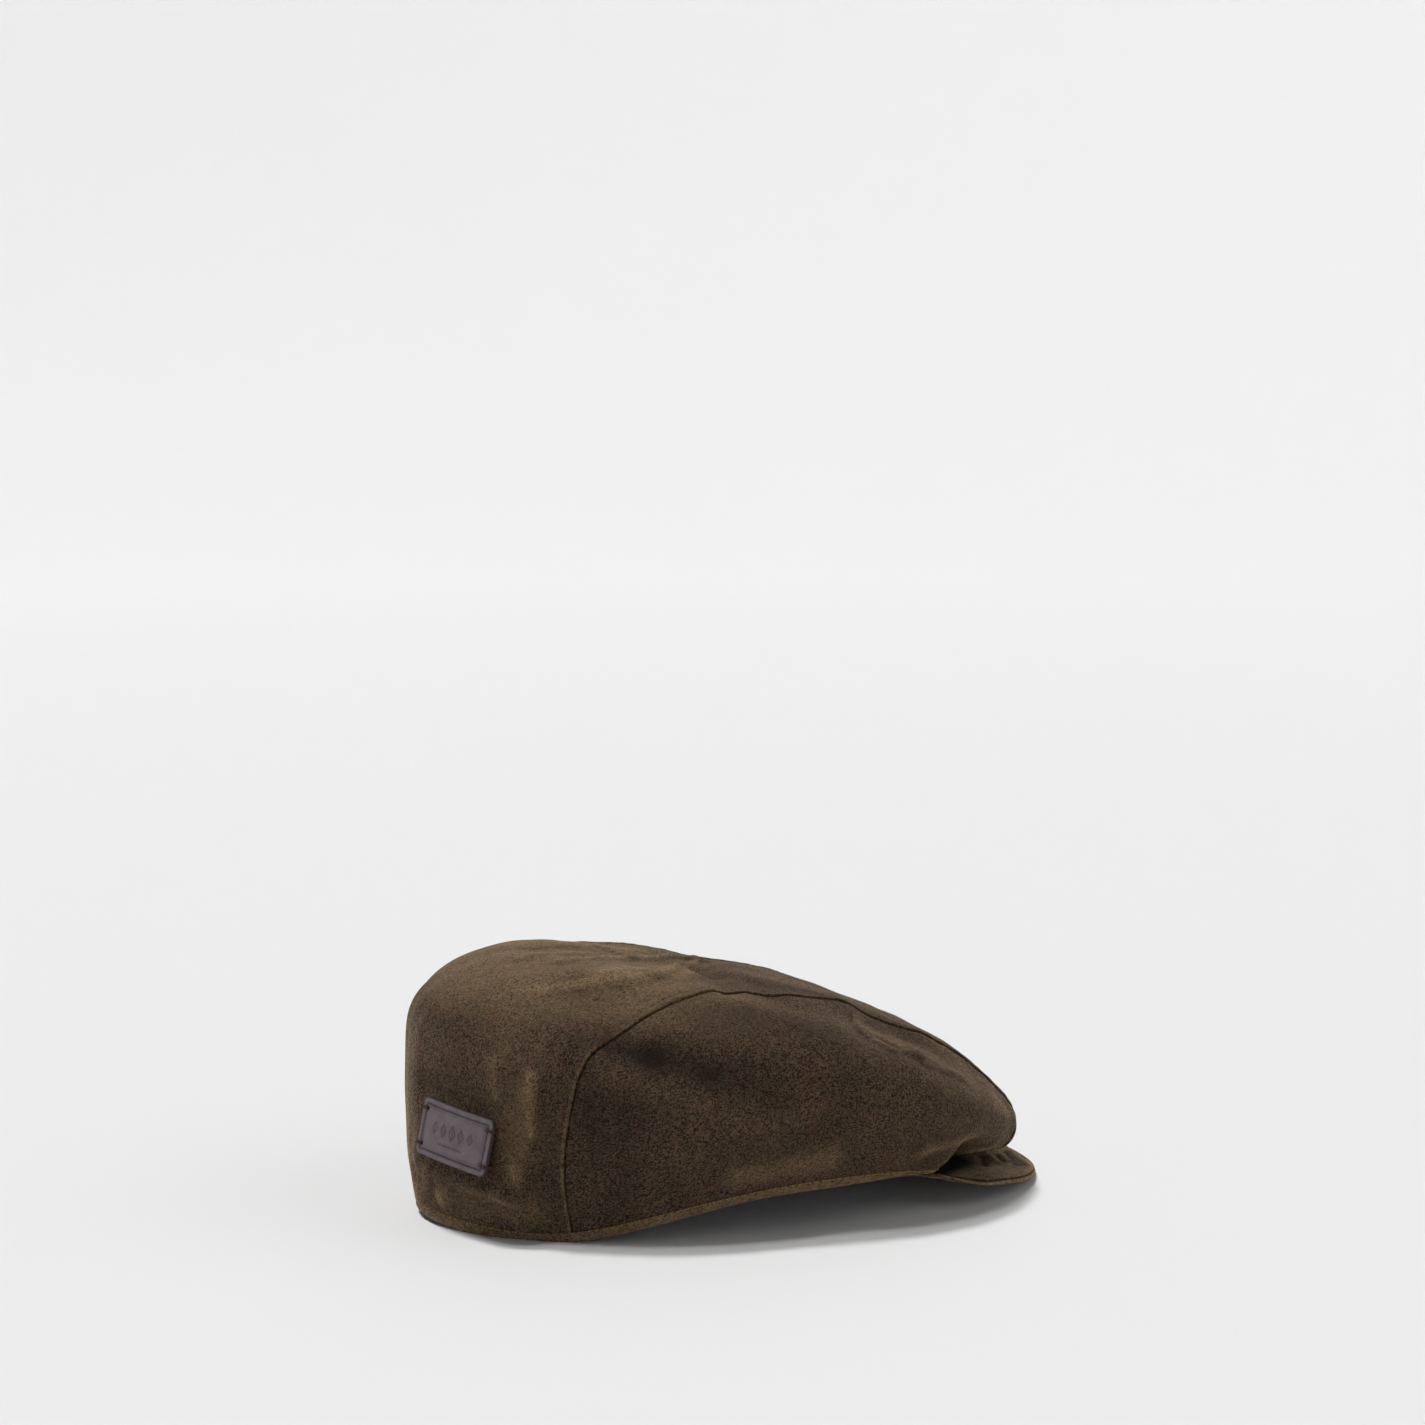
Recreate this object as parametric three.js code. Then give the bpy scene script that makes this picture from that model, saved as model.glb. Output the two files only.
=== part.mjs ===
import * as THREE from "three";

// A waxed cotton flat cap, in millimetres. +X points to the peak, +Y to the wearer's left, +Z up.
//
// The crown is one soft surface, given by sections round the head. A heading is the angle from the
// forehead (0) round to an ear (90) and the nape (180), positive toward the wearer's left. A level
// runs from 0 at the rim to 1 at the crest. The chart is the crown laid out as a flat disc: heading
// is the angle in it and 1 - level the distance from its middle. Each panel is a patch of the chart.

// Driving dimensions
const CLOTH_THICKNESS = 2;
const LEATHER_THICKNESS = 1.6;
const GAP = 0.3;
const SIDE_DROP = 0.5;
const CREST_HEIGHT = 91.5;
const CREST_SLOPE = 0.11;
const BAND_HEIGHT = 6.5;
const BAND_LIFT = 0.6;
const BAND_THICKNESS = 2.6;
const BAND_EDGE_DROP = 0.2;
const BAND_GAP = 0.7;
const FOLD_HELD_LEVEL = 0.06;
const FOLD_FREE_LEVEL = 0.16;
const PATCH_WIDTH = 40;
const PATCH_HEIGHT = 22;
const PATCH_CLEARANCE = 0.5;
const PATCH_BORDER_INSET = 2.4;
const PATCH_BORDER_WIDTH = 1;
const PATCH_BORDER_DEPTH = 0.4;
const PEAK_HALF_ANGLE = 37.5;
const PEAK_SEAT_OVERLAP = 1;
const PEAK_EDGE_ROUNDING = 0.6;
const PEAK_COVERS = { top: { low: 0.54, high: 1 }, underside: { low: 0, high: 0.46 } };
const CROWN_MIDDLE_X = -12.5;

// Where the stiff leather patch sits on the back of the crown, to the right of the nape: the middle
// of its back, the heading that it faces, how far its top leans in and how far its right end droops.
// The cloth is held flat behind it and set free a little way outside it.
const PATCH_MIDDLE = new THREE.Vector3(-108.2, -29.7, 39.2);
const PATCH_FACING = -157.3;
const PATCH_LEAN = 11;
const PATCH_DROOP = 4.5;
const PATCH_BEND_RADIUS = 140;
const PATCH_HOLD_OUTSIDE = { full: 2, none: 12 };
const PATCH_HOLD_FACING = { none: 0.3, full: 0.6 };
const PATCH_PULL = 0.75;

// Over each corner of the peak the wall bulges, then turns in sharply under the overhang. Headings
// are degrees either way from the forehead.
const TUCK_DEPTH = 11;
const TUCK_CORNER = { full: 33, none: 40 };
const TUCK_FRONT = { none: 10, full: 22 };
const TUCK_ROOF = { full: 0.17, none: 0.25 };
const ROOF_RAISE = 6;
const ROOF_HEADING = { middle: 39, width: 7.5 };
const ROOF_LEVEL = { middle: 0.2, width: 0.08 };
const CORNER_BULGE = 5;
const BULGE_HEADING = { middle: 42.5, width: 4.5 };
const BULGE_LEVEL = { full: 0.12, none: 0.3 };

// Crown sections. Out is the distance from the crown's vertical axis and up the height, at the rim,
// the wall above it, the widest bulge, the shoulder and the top. A rim below 0 is cloth pressed flat.
const SECTION_POINTS = ["rim", "wall", "wide", "shoulder", "top"];
const SECTION_LEVELS = [0, 0.17, 0.36, 0.62, 0.82, 1];
const CROWN_SECTIONS = table(
  ["heading", "rimOut", "rimUp", "wallOut", "wallUp", "wideOut", "wideUp",
    "shoulderOut", "shoulderUp", "topOut", "topUp"],
  [
    [0, 103, 14, 126, 10.5, 134, 16, 118, 45, 66, 73.5],
    [30, 97.5, 14.5, 113, 16.5, 124, 29.5, 108, 51, 59, 78],
    [60, 85.5, 16.5, 94, 29, 101, 45, 89.5, 70, 50, 83],
    [90, 74, 14.5, 82, 29.5, 88, 49, 79, 77, 46, 90],
    [120, 78.5, 7, 87, 27.5, 93, 52, 82.5, 82.5, 51, 93.5],
    [150, 93, -1.6, 102, 25.5, 107, 56, 96, 88, 58, 99.5],
    [180, 111.5, 1.5, 114.5, 23.5, 114, 60, 103.5, 89, 61.5, 102],
  ],
);

// The seam between the centre panel and a side panel, from the band behind the ear, over the
// shoulder of the crown and down its front to the band over the peak
const SEAM = table(
  ["heading", "level"],
  [
    [142, 0], [141, 0.19], [138, 0.37], [134, 0.55], [127, 0.645], [115, 0.765], [98, 0.818], [74, 0.832],
    [52, 0.829], [37, 0.815], [25, 0.768], [19, 0.7], [16.7, 0.6], [17, 0.45], [19, 0.25], [20, 0],
  ],
);

// Folds and hollows of the soft cloth. Each runs straight between two places on the crown, and its
// rise, negative for a hollow, fades with the distance from that line over its width.
const FOLDS = table(
  ["name", "fromHeading", "fromLevel", "toHeading", "toLevel", "width", "rise"],
  [
    ["rear shoulder ridge", -156, 0.69, -141, 0.79, 12, 1.6],
    ["crest ridge", -141, 0.79, -110, 0.95, 9, 1.1],
    ["hollow below the ridge", -146, 0.68, -128, 0.75, 10, -1.6],
    ["crease to the seam", 0, 0.99, -94, 0.82, 6, -2],
    ["front shoulder", -56, 0.83, -37, 0.81, 12, 2],
    ["front seam bump", -20, 0.71, -17, 0.66, 9, 1.6],
    ["side hollow, rear", -131, 0.57, -115, 0.51, 13, -3],
    ["side hollow, front", -100, 0.45, -78, 0.36, 15, -3],
    ["side ridge", -128, 0.46, -92, 0.31, 13, 1.5],
    ["side ridge, upper", -93, 0.75, -83, 0.65, 13, 1.5],
    ["front wrinkle, upper", -50, 0.72, -45, 0.66, 4, 1.3],
    ["front wrinkle, lower", -43, 0.65, -34, 0.6, 4, 1.5],
    ["hollow over the wrinkles", -37, 0.75, -26, 0.7, 7, -1.4],
    ["lower front hollow", -80, 0.3, -65, 0.16, 10, -1.8],
    ["fold over the peak's corner", -50, 0.2, -40, 0.27, 5, 1.6],
    ["upright ridge behind the seam", -147, 0.41, -150, 0.2, 7, 1.8],
    ["upright hollow behind the seam", -144, 0.4, -145, 0.2, 5, -1],
    ["upright hollow by the patch", -153, 0.4, -156, 0.14, 6, -1.2],
    ["pucker below the patch", -170, 0.12, -171, 0.08, 5, 1],
    ["crown top ridge, left", 165, 0.78, 120, 0.9, 8, 0.6],
    ["crown top hollow", -178, 0.86, 160, 0.97, 14, -1.8],
    ["notch at the crest", 60, 0.93, -80, 0.95, 8, -1.6],
    ["left side hollow", 126, 0.55, 82, 0.38, 15, -2.6],
    ["left side ridge", 122, 0.4, 95, 0.3, 13, 1.4],
    ["left front hollow", 72, 0.3, 60, 0.2, 10, -1.6],
    ["left front shoulder", 56, 0.8, 40, 0.78, 12, 0.8],
    ["left rear ridge", 150, 0.42, 152, 0.2, 8, 1.4],
  ],
);

// Peak sections. EdgeOut is its outer edge, edgeUp and seatUp the height of its underside at that
// edge and under the rim, and thick its whole thickness.
const PEAK_SECTIONS = table(
  ["heading", "edgeOut", "edgeUp", "seatUp", "thick"],
  [
    [0, 142.5, -0.2, 8, 4],
    [8, 142.5, -0.2, 8, 4],
    [16, 138.5, 1.4, 8.2, 4],
    [25, 130.5, 4.4, 9.2, 3.7],
    [32, 121.5, 7.2, 10.8, 3.2],
    [36, 111, 9.8, 12, 2.6],
    [37.5, 101, 12.4, 12.6, 1.8],
  ],
);

// Mesh divisions
const SEAM_ROWS = 42;
const CENTRE_COLUMNS = 16;
const SIDE_COLUMNS = 11;
const PEAK_ROWS = 28;
const PATCH_COLUMNS = 10;
const PATCH_ROWS = 6;
const PEAK_SHARES = [0, 0.22, 0.44, 0.66, 0.84, 0.94, 0.98, 1];
const CHART_STEP = 0.002;

const RIGHT = -1;
const LEFT = 1;
const UP = new THREE.Vector3(0, 0, 1);

// A cubic curve through values at knots, smooth to its second derivative. An end without a slope
// runs out straight.
class Spline {
  constructor(knots, values, startSlope, endSlope) {
    this.knots = knots;
    this.values = values;
    this.slopes = Spline.solveSlopes(knots, values, startSlope, endSlope);
  }

  static solveSlopes(knots, values, startSlope, endSlope) {
    const last = knots.length - 1;
    const step = (k) => knots[k + 1] - knots[k];
    const chord = (k) => (values[k + 1] - values[k]) / step(k);
    const above = [];
    const right = [];
    for (let k = 0; k <= last; k += 1) {
      let below = 0;
      let diagonal = 1;
      let over = 0;
      let target = k === 0 ? startSlope : endSlope;
      if (k > 0 && k < last) {
        below = 1 / step(k - 1);
        over = 1 / step(k);
        diagonal = 2 * (below + over);
        target = 3 * (chord(k - 1) * below + chord(k) * over);
      } else if (target === undefined) {
        diagonal = 2;
        below = k === 0 ? 0 : 1;
        over = k === 0 ? 1 : 0;
        target = 3 * chord(k === 0 ? 0 : last - 1);
      }
      const pivot = diagonal - (k > 0 ? below * above[k - 1] : 0);
      above.push(over / pivot);
      right.push((target - (k > 0 ? below * right[k - 1] : 0)) / pivot);
    }
    for (let k = last - 1; k >= 0; k -= 1) {
      right[k] -= above[k] * right[k + 1];
    }
    return right;
  }

  at(place) {
    let k = 0;
    while (k < this.knots.length - 2 && place > this.knots[k + 1]) {
      k += 1;
    }
    const step = this.knots[k + 1] - this.knots[k];
    const s = (place - this.knots[k]) / step;
    const rest = 1 - s;
    return (
      rest * rest * (1 + 2 * s) * this.values[k] +
      s * s * (3 - 2 * s) * this.values[k + 1] +
      s * rest * rest * step * this.slopes[k] -
      s * s * rest * step * this.slopes[k + 1]
    );
  }
}

function table(columns, rows) {
  return rows.map((row) => Object.fromEntries(columns.map((name, k) => [name, row[k]])));
}

function column(rows, name) {
  return rows.map((row) => row[name]);
}

// Chart

const SECTION_HEADINGS = column(CROWN_SECTIONS, "heading");
const OUT_CURVES = SECTION_POINTS.map((name) => roundTheHead(`${name}Out`));
const UP_CURVES = SECTION_POINTS.map((name) => roundTheHead(`${name}Up`));

function roundTheHead(name) {
  return new Spline(SECTION_HEADINGS, column(CROWN_SECTIONS, name), 0, 0);
}

function chartAt(heading, level) {
  const angle = THREE.MathUtils.degToRad(heading);
  return new THREE.Vector2(Math.cos(angle), Math.sin(angle)).multiplyScalar(1 - level);
}

function headingOf(chart) {
  return THREE.MathUtils.radToDeg(Math.atan2(chart.y, chart.x));
}

// A Gaussian bump: 1 at distance 0, and 1/e at width
function bell(distance, width) {
  return Math.exp(-((distance / width) ** 2));
}

// How far the tuck over the peak's corner moves the crown out and up
function cornerTuck(heading, level) {
  const { smoothstep } = THREE.MathUtils;
  const window = (1 - smoothstep(heading, TUCK_CORNER.full, TUCK_CORNER.none))
    * smoothstep(heading, TUCK_FRONT.none, TUCK_FRONT.full);
  const inward = TUCK_DEPTH * window * (1 - smoothstep(level, TUCK_ROOF.full, TUCK_ROOF.none));
  const outward = CORNER_BULGE * bell(heading - BULGE_HEADING.middle, BULGE_HEADING.width)
    * (1 - smoothstep(level, BULGE_LEVEL.full, BULGE_LEVEL.none));
  const raise = ROOF_RAISE * bell(heading - ROOF_HEADING.middle, ROOF_HEADING.width)
    * bell(level - ROOF_LEVEL.middle, ROOF_LEVEL.width);
  return { out: outward - inward, up: raise };
}

// The crown without its folds
function crownSkin(chart) {
  const angle = Math.atan2(chart.y, chart.x);
  const heading = Math.abs(headingOf(chart));
  const outs = OUT_CURVES.map((curve) => curve.at(heading));
  const ups = UP_CURVES.map((curve) => curve.at(heading));
  const crestSpeed = outs.at(-1) / (1 - SECTION_LEVELS.at(-2));
  const crestClimb = CREST_SLOPE * Math.cos(angle) * crestSpeed;
  const level = 1 - chart.length();
  const tuck = cornerTuck(heading, level);
  const out = new Spline(SECTION_LEVELS, [...outs, 0], undefined, -crestSpeed).at(level) + tuck.out;
  const up = new Spline(SECTION_LEVELS, [...ups, CREST_HEIGHT], undefined, crestClimb).at(level) + tuck.up;
  return new THREE.Vector3(out * Math.cos(angle), out * Math.sin(angle), up);
}

// How the skin moves for a unit step along each axis of the chart
function chartSlopes(chart) {
  return [new THREE.Vector2(CHART_STEP, 0), new THREE.Vector2(0, CHART_STEP)].map((step) =>
    crownSkin(chart.clone().add(step))
      .sub(crownSkin(chart.clone().sub(step)))
      .divideScalar(2 * CHART_STEP),
  );
}

function crownNormal(chart) {
  const [alongX, alongY] = chartSlopes(chart);
  return alongX.cross(alongY).normalize();
}

// Folds die away toward the band, which is stitched flat
function foldFreedom(level) {
  return THREE.MathUtils.smoothstep(level, FOLD_HELD_LEVEL, FOLD_FREE_LEVEL);
}

const FOLD_LINES = FOLDS.map((fold) => ({
  line: new THREE.Line3(
    crownSkin(chartAt(fold.fromHeading, fold.fromLevel)),
    crownSkin(chartAt(fold.toHeading, fold.toLevel)),
  ),
  width: fold.width,
  rise: fold.rise,
}));

function foldRise(point, level) {
  const nearest = new THREE.Vector3();
  const freedom = foldFreedom(level);
  return freedom * FOLD_LINES.reduce((sum, { line, width, rise }) => {
    line.closestPointToPoint(point, true, nearest);
    return sum + rise * bell(point.distanceTo(nearest), width);
  }, 0);
}

// The patch bends only about its upright middle line, so this far from that line it lies this far back
function patchBend(x) {
  return x ** 2 / (2 * PATCH_BEND_RADIUS);
}

const PATCH = patchFrame();

// The patch's outward normal and the directions across it and up it
function patchFrame() {
  const facing = THREE.MathUtils.degToRad(PATCH_FACING);
  const lean = THREE.MathUtils.degToRad(PATCH_LEAN);
  const normal = new THREE.Vector3(Math.cos(facing), Math.sin(facing), 0)
    .multiplyScalar(Math.cos(lean))
    .addScaledVector(UP, Math.sin(lean));
  const across = UP.clone().cross(normal).normalize()
    .applyAxisAngle(normal, THREE.MathUtils.degToRad(-PATCH_DROOP));
  return { normal, across, upward: normal.clone().cross(across) };
}

// How far the cloth moves to lie behind the patch: all the way where it would stand through it, and
// part of the way where it hangs clear of it
function patchPull(skin, normal, rise) {
  const { smoothstep } = THREE.MathUtils;
  const offset = skin.clone().sub(PATCH_MIDDLE);
  const x = offset.dot(PATCH.across);
  const y = offset.dot(PATCH.upward);
  const toward = normal.dot(PATCH.normal);
  const outside = Math.hypot(
    Math.max(Math.abs(x) - PATCH_WIDTH / 2, 0),
    Math.max(Math.abs(y) - PATCH_HEIGHT / 2, 0),
  );
  const hold = (1 - smoothstep(outside, PATCH_HOLD_OUTSIDE.full, PATCH_HOLD_OUTSIDE.none))
    * smoothstep(toward, PATCH_HOLD_FACING.none, PATCH_HOLD_FACING.full);
  const height = offset.dot(PATCH.normal) + patchBend(x);
  const reach = (-PATCH_CLEARANCE - height) / Math.max(toward, PATCH_HOLD_FACING.none) - rise;
  return hold * (reach > 0 ? PATCH_PULL * reach : reach);
}

// A point of the cloth, lifted off the crown's outer surface. What would reach below the surface
// that the cap lies on is pressed flat against it.
function crownCloth(chart, lift) {
  const skin = crownSkin(chart);
  const normal = crownNormal(chart);
  const folded = foldRise(skin, 1 - chart.length());
  const rise = folded + patchPull(skin, normal, folded);
  const point = skin.clone().addScaledVector(normal, rise + lift);
  point.z = Math.max(point.z, 0);
  return point;
}

// Band and panel edges

function levelsPerMillimetre(heading) {
  const start = crownSkin(chartAt(heading, 0));
  const levelStep = 0.03;
  return levelStep / crownSkin(chartAt(heading, levelStep)).distanceTo(start);
}

const BAND_LEVEL = new Spline(
  SECTION_HEADINGS,
  SECTION_HEADINGS.map((heading) => BAND_HEIGHT * levelsPerMillimetre(heading)),
  0,
  0,
);
const PANEL_LEVEL = new Spline(
  SECTION_HEADINGS,
  SECTION_HEADINGS.map((heading) => (BAND_HEIGHT + BAND_GAP) * levelsPerMillimetre(heading)),
  0,
  0,
);

// Panels use a chart of their own, whose edge is the line where they meet the band
function panelReach(heading) {
  return 1 - PANEL_LEVEL.at(Math.abs(heading));
}

function panelCloth(chart, lift) {
  return crownCloth(chart.clone().multiplyScalar(panelReach(headingOf(chart))), lift);
}

const SEAM_CHART = SEAM.map(({ heading, level }) => {
  const chart = chartAt(heading, level).divideScalar(panelReach(heading));
  return chart.length() > 1 ? chart.normalize() : chart;
});
const SEAM_KNOTS = SEAM_CHART.reduce((knots, chart, k) => {
  const before = k === 0 ? 0 : knots.at(-1) + chart.distanceTo(SEAM_CHART[k - 1]);
  return [...knots, before];
}, []);
const SEAM_X = new Spline(SEAM_KNOTS, column(SEAM_CHART, "x"));
const SEAM_Y = new Spline(SEAM_KNOTS, column(SEAM_CHART, "y"));

// A place on the left seam, moved by inset away from the centre panel
function seamEdge(share, inset) {
  const place = share * SEAM_KNOTS.at(-1);
  const step = CHART_STEP;
  const from = new THREE.Vector2(SEAM_X.at(place - step), SEAM_Y.at(place - step));
  const to = new THREE.Vector2(SEAM_X.at(place + step), SEAM_Y.at(place + step));
  const across = new THREE.Vector2(from.y - to.y, to.x - from.x).normalize();
  const chart = from.add(to).divideScalar(2);
  const near = panelCloth(chart, 0);
  const far = panelCloth(chart.clone().addScaledVector(across, step), 0);
  chart.addScaledVector(across, (inset * step) / near.distanceTo(far));
  return share === 0 || share === 1 ? chart.normalize() : chart;
}

// A place on the rim of the panels' chart, part of the way from one of its places to another
function rimBetween(from, to, share) {
  return chartAt(THREE.MathUtils.lerp(headingOf(from), headingOf(to), share), 0);
}

// Closed bodies

// A closed body from its triangles: vertices that meet are joined, triangles that joining has
// closed up are left out, and the faces are turned to point out.
function bodyFromTriangles(triangles) {
  const places = new Map();
  const positions = [];
  const indexOf = (point) => {
    const key = point.toArray().map((value) => Math.round(value * 1e4)).join(",");
    if (!places.has(key)) {
      places.set(key, places.size);
      positions.push(point.x, point.y, point.z);
    }
    return places.get(key);
  };
  const faces = triangles
    .map((corners) => ({ corners, at: corners.map(indexOf) }))
    .filter(({ at }) => new Set(at).size === 3);
  const volume = faces.reduce((sum, { corners: [a, b, c] }) => sum + a.dot(b.clone().cross(c)), 0);
  const geometry = new THREE.BufferGeometry();
  geometry.setAttribute("position", new THREE.Float32BufferAttribute(positions, 3));
  geometry.setIndex(faces.flatMap(({ at }) => (volume > 0 ? at : [at[0], at[2], at[1]])));
  geometry.computeVertexNormals();
  return geometry;
}

function quad(a, b, c, d) {
  return [[a, b, c], [a, c, d]];
}

// A sheet with thickness, from an outer and an inner grid of points
function sheetBody(outer, inner) {
  const triangles = [];
  const lastRow = outer.length - 1;
  const lastColumn = outer[0].length - 1;
  for (let i = 0; i < lastRow; i += 1) {
    for (let j = 0; j < lastColumn; j += 1) {
      triangles.push(...quad(outer[i][j], outer[i + 1][j], outer[i + 1][j + 1], outer[i][j + 1]));
      triangles.push(...quad(inner[i][j], inner[i][j + 1], inner[i + 1][j + 1], inner[i + 1][j]));
    }
    triangles.push(...quad(outer[i + 1][0], outer[i][0], inner[i][0], inner[i + 1][0]));
    triangles.push(...quad(
      outer[i][lastColumn], outer[i + 1][lastColumn], inner[i + 1][lastColumn], inner[i][lastColumn],
    ));
  }
  for (let j = 0; j < lastColumn; j += 1) {
    triangles.push(...quad(outer[0][j], outer[0][j + 1], inner[0][j + 1], inner[0][j]));
    triangles.push(...quad(
      outer[lastRow][j + 1], outer[lastRow][j], inner[lastRow][j], inner[lastRow][j + 1],
    ));
  }
  return bodyFromTriangles(triangles);
}

// A ring from closed section loops set one after another round it
function ringBody(loops) {
  const triangles = [];
  loops.forEach((loop, i) => {
    const next = loops[(i + 1) % loops.length];
    loop.forEach((point, j) => {
      const k = (j + 1) % loop.length;
      triangles.push(...quad(point, next[j], next[k], loop[k]));
    });
  });
  return bodyFromTriangles(triangles);
}

// A grid of points, worked out from each row's and column's share of the way along
function grid(rows, columns, pointAt) {
  const shares = (count) => Array.from({ length: count + 1 }, (_, k) => k / count);
  return shares(rows).map((u) => shares(columns).map((v) => pointAt(u, v)));
}

// Both kinds of panel have the same rows, so that their edges run side by side along the seams
function panelBody(columns, chartFor, lift) {
  const charts = grid(SEAM_ROWS, columns, chartFor);
  const surface = (height) => charts.map((row) => row.map((chart) => panelCloth(chart, height)));
  return sheetBody(surface(lift), surface(lift - CLOTH_THICKNESS));
}

// Sub-parts

// The long panel over the back, top and front. Its chart is a strip between the two seams, bent at
// its ends to follow the rim.
function centrePanel() {
  const edge = (u) => seamEdge(u, -GAP / 2);
  const between = (u, v) => {
    const { x, y } = edge(u);
    return new THREE.Vector2(x, y * (1 - 2 * v));
  };
  const back = edge(0);
  const front = edge(1);
  const backHeading = headingOf(back);
  const chartFor = (u, v) => {
    const backRim = chartAt(THREE.MathUtils.lerp(backHeading, 360 - backHeading, v), 0);
    const frontRim = rimBetween(front, front.clone().setY(-front.y), v);
    return between(u, v)
      .add(backRim.sub(between(0, v)).multiplyScalar(1 - u))
      .add(frontRim.sub(between(1, v)).multiplyScalar(u));
  };
  return panelBody(CENTRE_COLUMNS, chartFor, 0);
}

// A side panel fills the chart between the rim and its seam
function sidePanel(side) {
  const edge = (u) => seamEdge(u, GAP / 2);
  const chartFor = (u, v) => {
    const chart = rimBetween(edge(0), edge(1), u).lerp(edge(u), v);
    return chart.setY(chart.y * side);
  };
  return panelBody(SIDE_COLUMNS, chartFor, -SIDE_DROP);
}

// The folded band stitched along the rim, a closed strip round the whole opening. It has a section
// at each row and column of the panels over it, so that its facets run beside theirs.
function rimBand() {
  const back = SEAM[0].heading;
  const front = SEAM.at(-1).heading;
  const between = (from, to, count) =>
    Array.from({ length: count }, (_, k) => THREE.MathUtils.lerp(from, to, k / count));
  const headings = [
    ...between(-front, front, CENTRE_COLUMNS),
    ...between(front, back, SEAM_ROWS),
    ...between(back, 360 - back, CENTRE_COLUMNS),
    ...between(-back, -front, SEAM_ROWS),
  ];
  const loops = headings.map((heading) => {
    const top = BAND_LEVEL.at(Math.min(Math.abs(heading), 360 - Math.abs(heading)));
    const at = (share, lift) => crownCloth(chartAt(heading, share * top), lift);
    return [
      at(1, BAND_LIFT - BAND_EDGE_DROP),
      at(0.5, BAND_LIFT),
      at(0, BAND_LIFT - BAND_EDGE_DROP),
      at(0, BAND_LIFT - BAND_THICKNESS),
      at(1, BAND_LIFT - BAND_THICKNESS),
    ];
  });
  return ringBody(loops);
}

const PEAK_HEADINGS = column(PEAK_SECTIONS, "heading");
const PEAK_CURVES = Object.fromEntries(
  ["edgeOut", "edgeUp", "seatUp", "thick"].map((name) => [
    name,
    new Spline(PEAK_HEADINGS, column(PEAK_SECTIONS, name), 0),
  ]),
);

// A point of the peak, from the seat under the rim (share 0) to its outer edge (share 1). Height
// runs from 0 at the underside to 1 at the top, and both faces round in toward the outer edge.
function peakPoint(heading, share, height) {
  const turn = Math.abs(heading);
  const seatOut = OUT_CURVES[0].at(turn) + cornerTuck(turn, 0).out - PEAK_SEAT_OVERLAP;
  const edgeOut = PEAK_CURVES.edgeOut.at(turn);
  const out = THREE.MathUtils.lerp(seatOut, edgeOut, share);
  const thick = PEAK_CURVES.thick.at(turn);
  const radius = thick / 2;
  const inFromCurve = Math.max(0, radius - (edgeOut - out));
  const drop = PEAK_EDGE_ROUNDING * (radius - Math.sqrt(radius ** 2 - inFromCurve ** 2));
  const low = THREE.MathUtils.lerp(PEAK_CURVES.seatUp.at(turn), PEAK_CURVES.edgeUp.at(turn), share);
  const up = THREE.MathUtils.lerp(low + drop, low + thick - drop, height);
  const angle = THREE.MathUtils.degToRad(heading);
  return new THREE.Vector3(out * Math.cos(angle), out * Math.sin(angle), up);
}

// One of the peak's two covers, between two heights in its thickness. Its rows lie closest
// together at its corners, which turn sharply.
function peakCover({ low, high }) {
  const surface = (height) =>
    Array.from({ length: PEAK_ROWS + 1 }, (_, k) => {
      const heading = PEAK_HALF_ANGLE * Math.sin(Math.PI * (k / PEAK_ROWS - 0.5));
      return PEAK_SHARES.map((share) => peakPoint(heading, share, height));
    });
  return sheetBody(surface(high), surface(low));
}

// The leather patch, with its border line pressed in. Lift is measured off its back.
function leatherPatch() {
  const xs = bordered(PATCH_WIDTH, PATCH_COLUMNS);
  const ys = bordered(PATCH_HEIGHT, PATCH_ROWS);
  const pointAt = (x, y, lift) =>
    PATCH_MIDDLE.clone()
      .addScaledVector(PATCH.across, x)
      .addScaledVector(PATCH.upward, y)
      .addScaledVector(PATCH.normal, lift - patchBend(x));
  const outer = xs.map((x) => ys.map((y) => {
    const pressed = x.onBorder || y.onBorder ? borderDepth(x.at, y.at) : 0;
    return pointAt(x.at, y.at, LEATHER_THICKNESS - pressed);
  }));
  const inner = xs.map((x) => ys.map((y) => pointAt(x.at, y.at, 0)));
  return sheetBody(outer, inner);
}

// Places across a length, with three close ones for the pressed border line at each end
function bordered(length, divisions) {
  const half = length / 2;
  const edge = half - PATCH_BORDER_INSET;
  const inside = edge - PATCH_BORDER_WIDTH / 2;
  const places = [-half, -edge - PATCH_BORDER_WIDTH / 2, -edge];
  for (let k = 0; k <= divisions; k += 1) {
    places.push(THREE.MathUtils.lerp(-inside, inside, k / divisions));
  }
  places.push(edge, edge + PATCH_BORDER_WIDTH / 2, half);
  return places.map((at) => ({ at, onBorder: Math.abs(at) === edge }));
}

function borderDepth(x, y) {
  const within = Math.abs(x) <= PATCH_WIDTH / 2 - PATCH_BORDER_INSET
    && Math.abs(y) <= PATCH_HEIGHT / 2 - PATCH_BORDER_INSET;
  return within ? PATCH_BORDER_DEPTH : 0;
}

// Materials

function waxedCotton() {
  return new THREE.MeshStandardMaterial({ color: "#4b3e32", roughness: 0.85, metalness: 0 });
}

function patchLeather() {
  return new THREE.MeshStandardMaterial({ color: "#5f5453", roughness: 0.55, metalness: 0 });
}

function part(name, geometry, material) {
  const mesh = new THREE.Mesh(geometry, material);
  mesh.name = name;
  return mesh;
}

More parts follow.
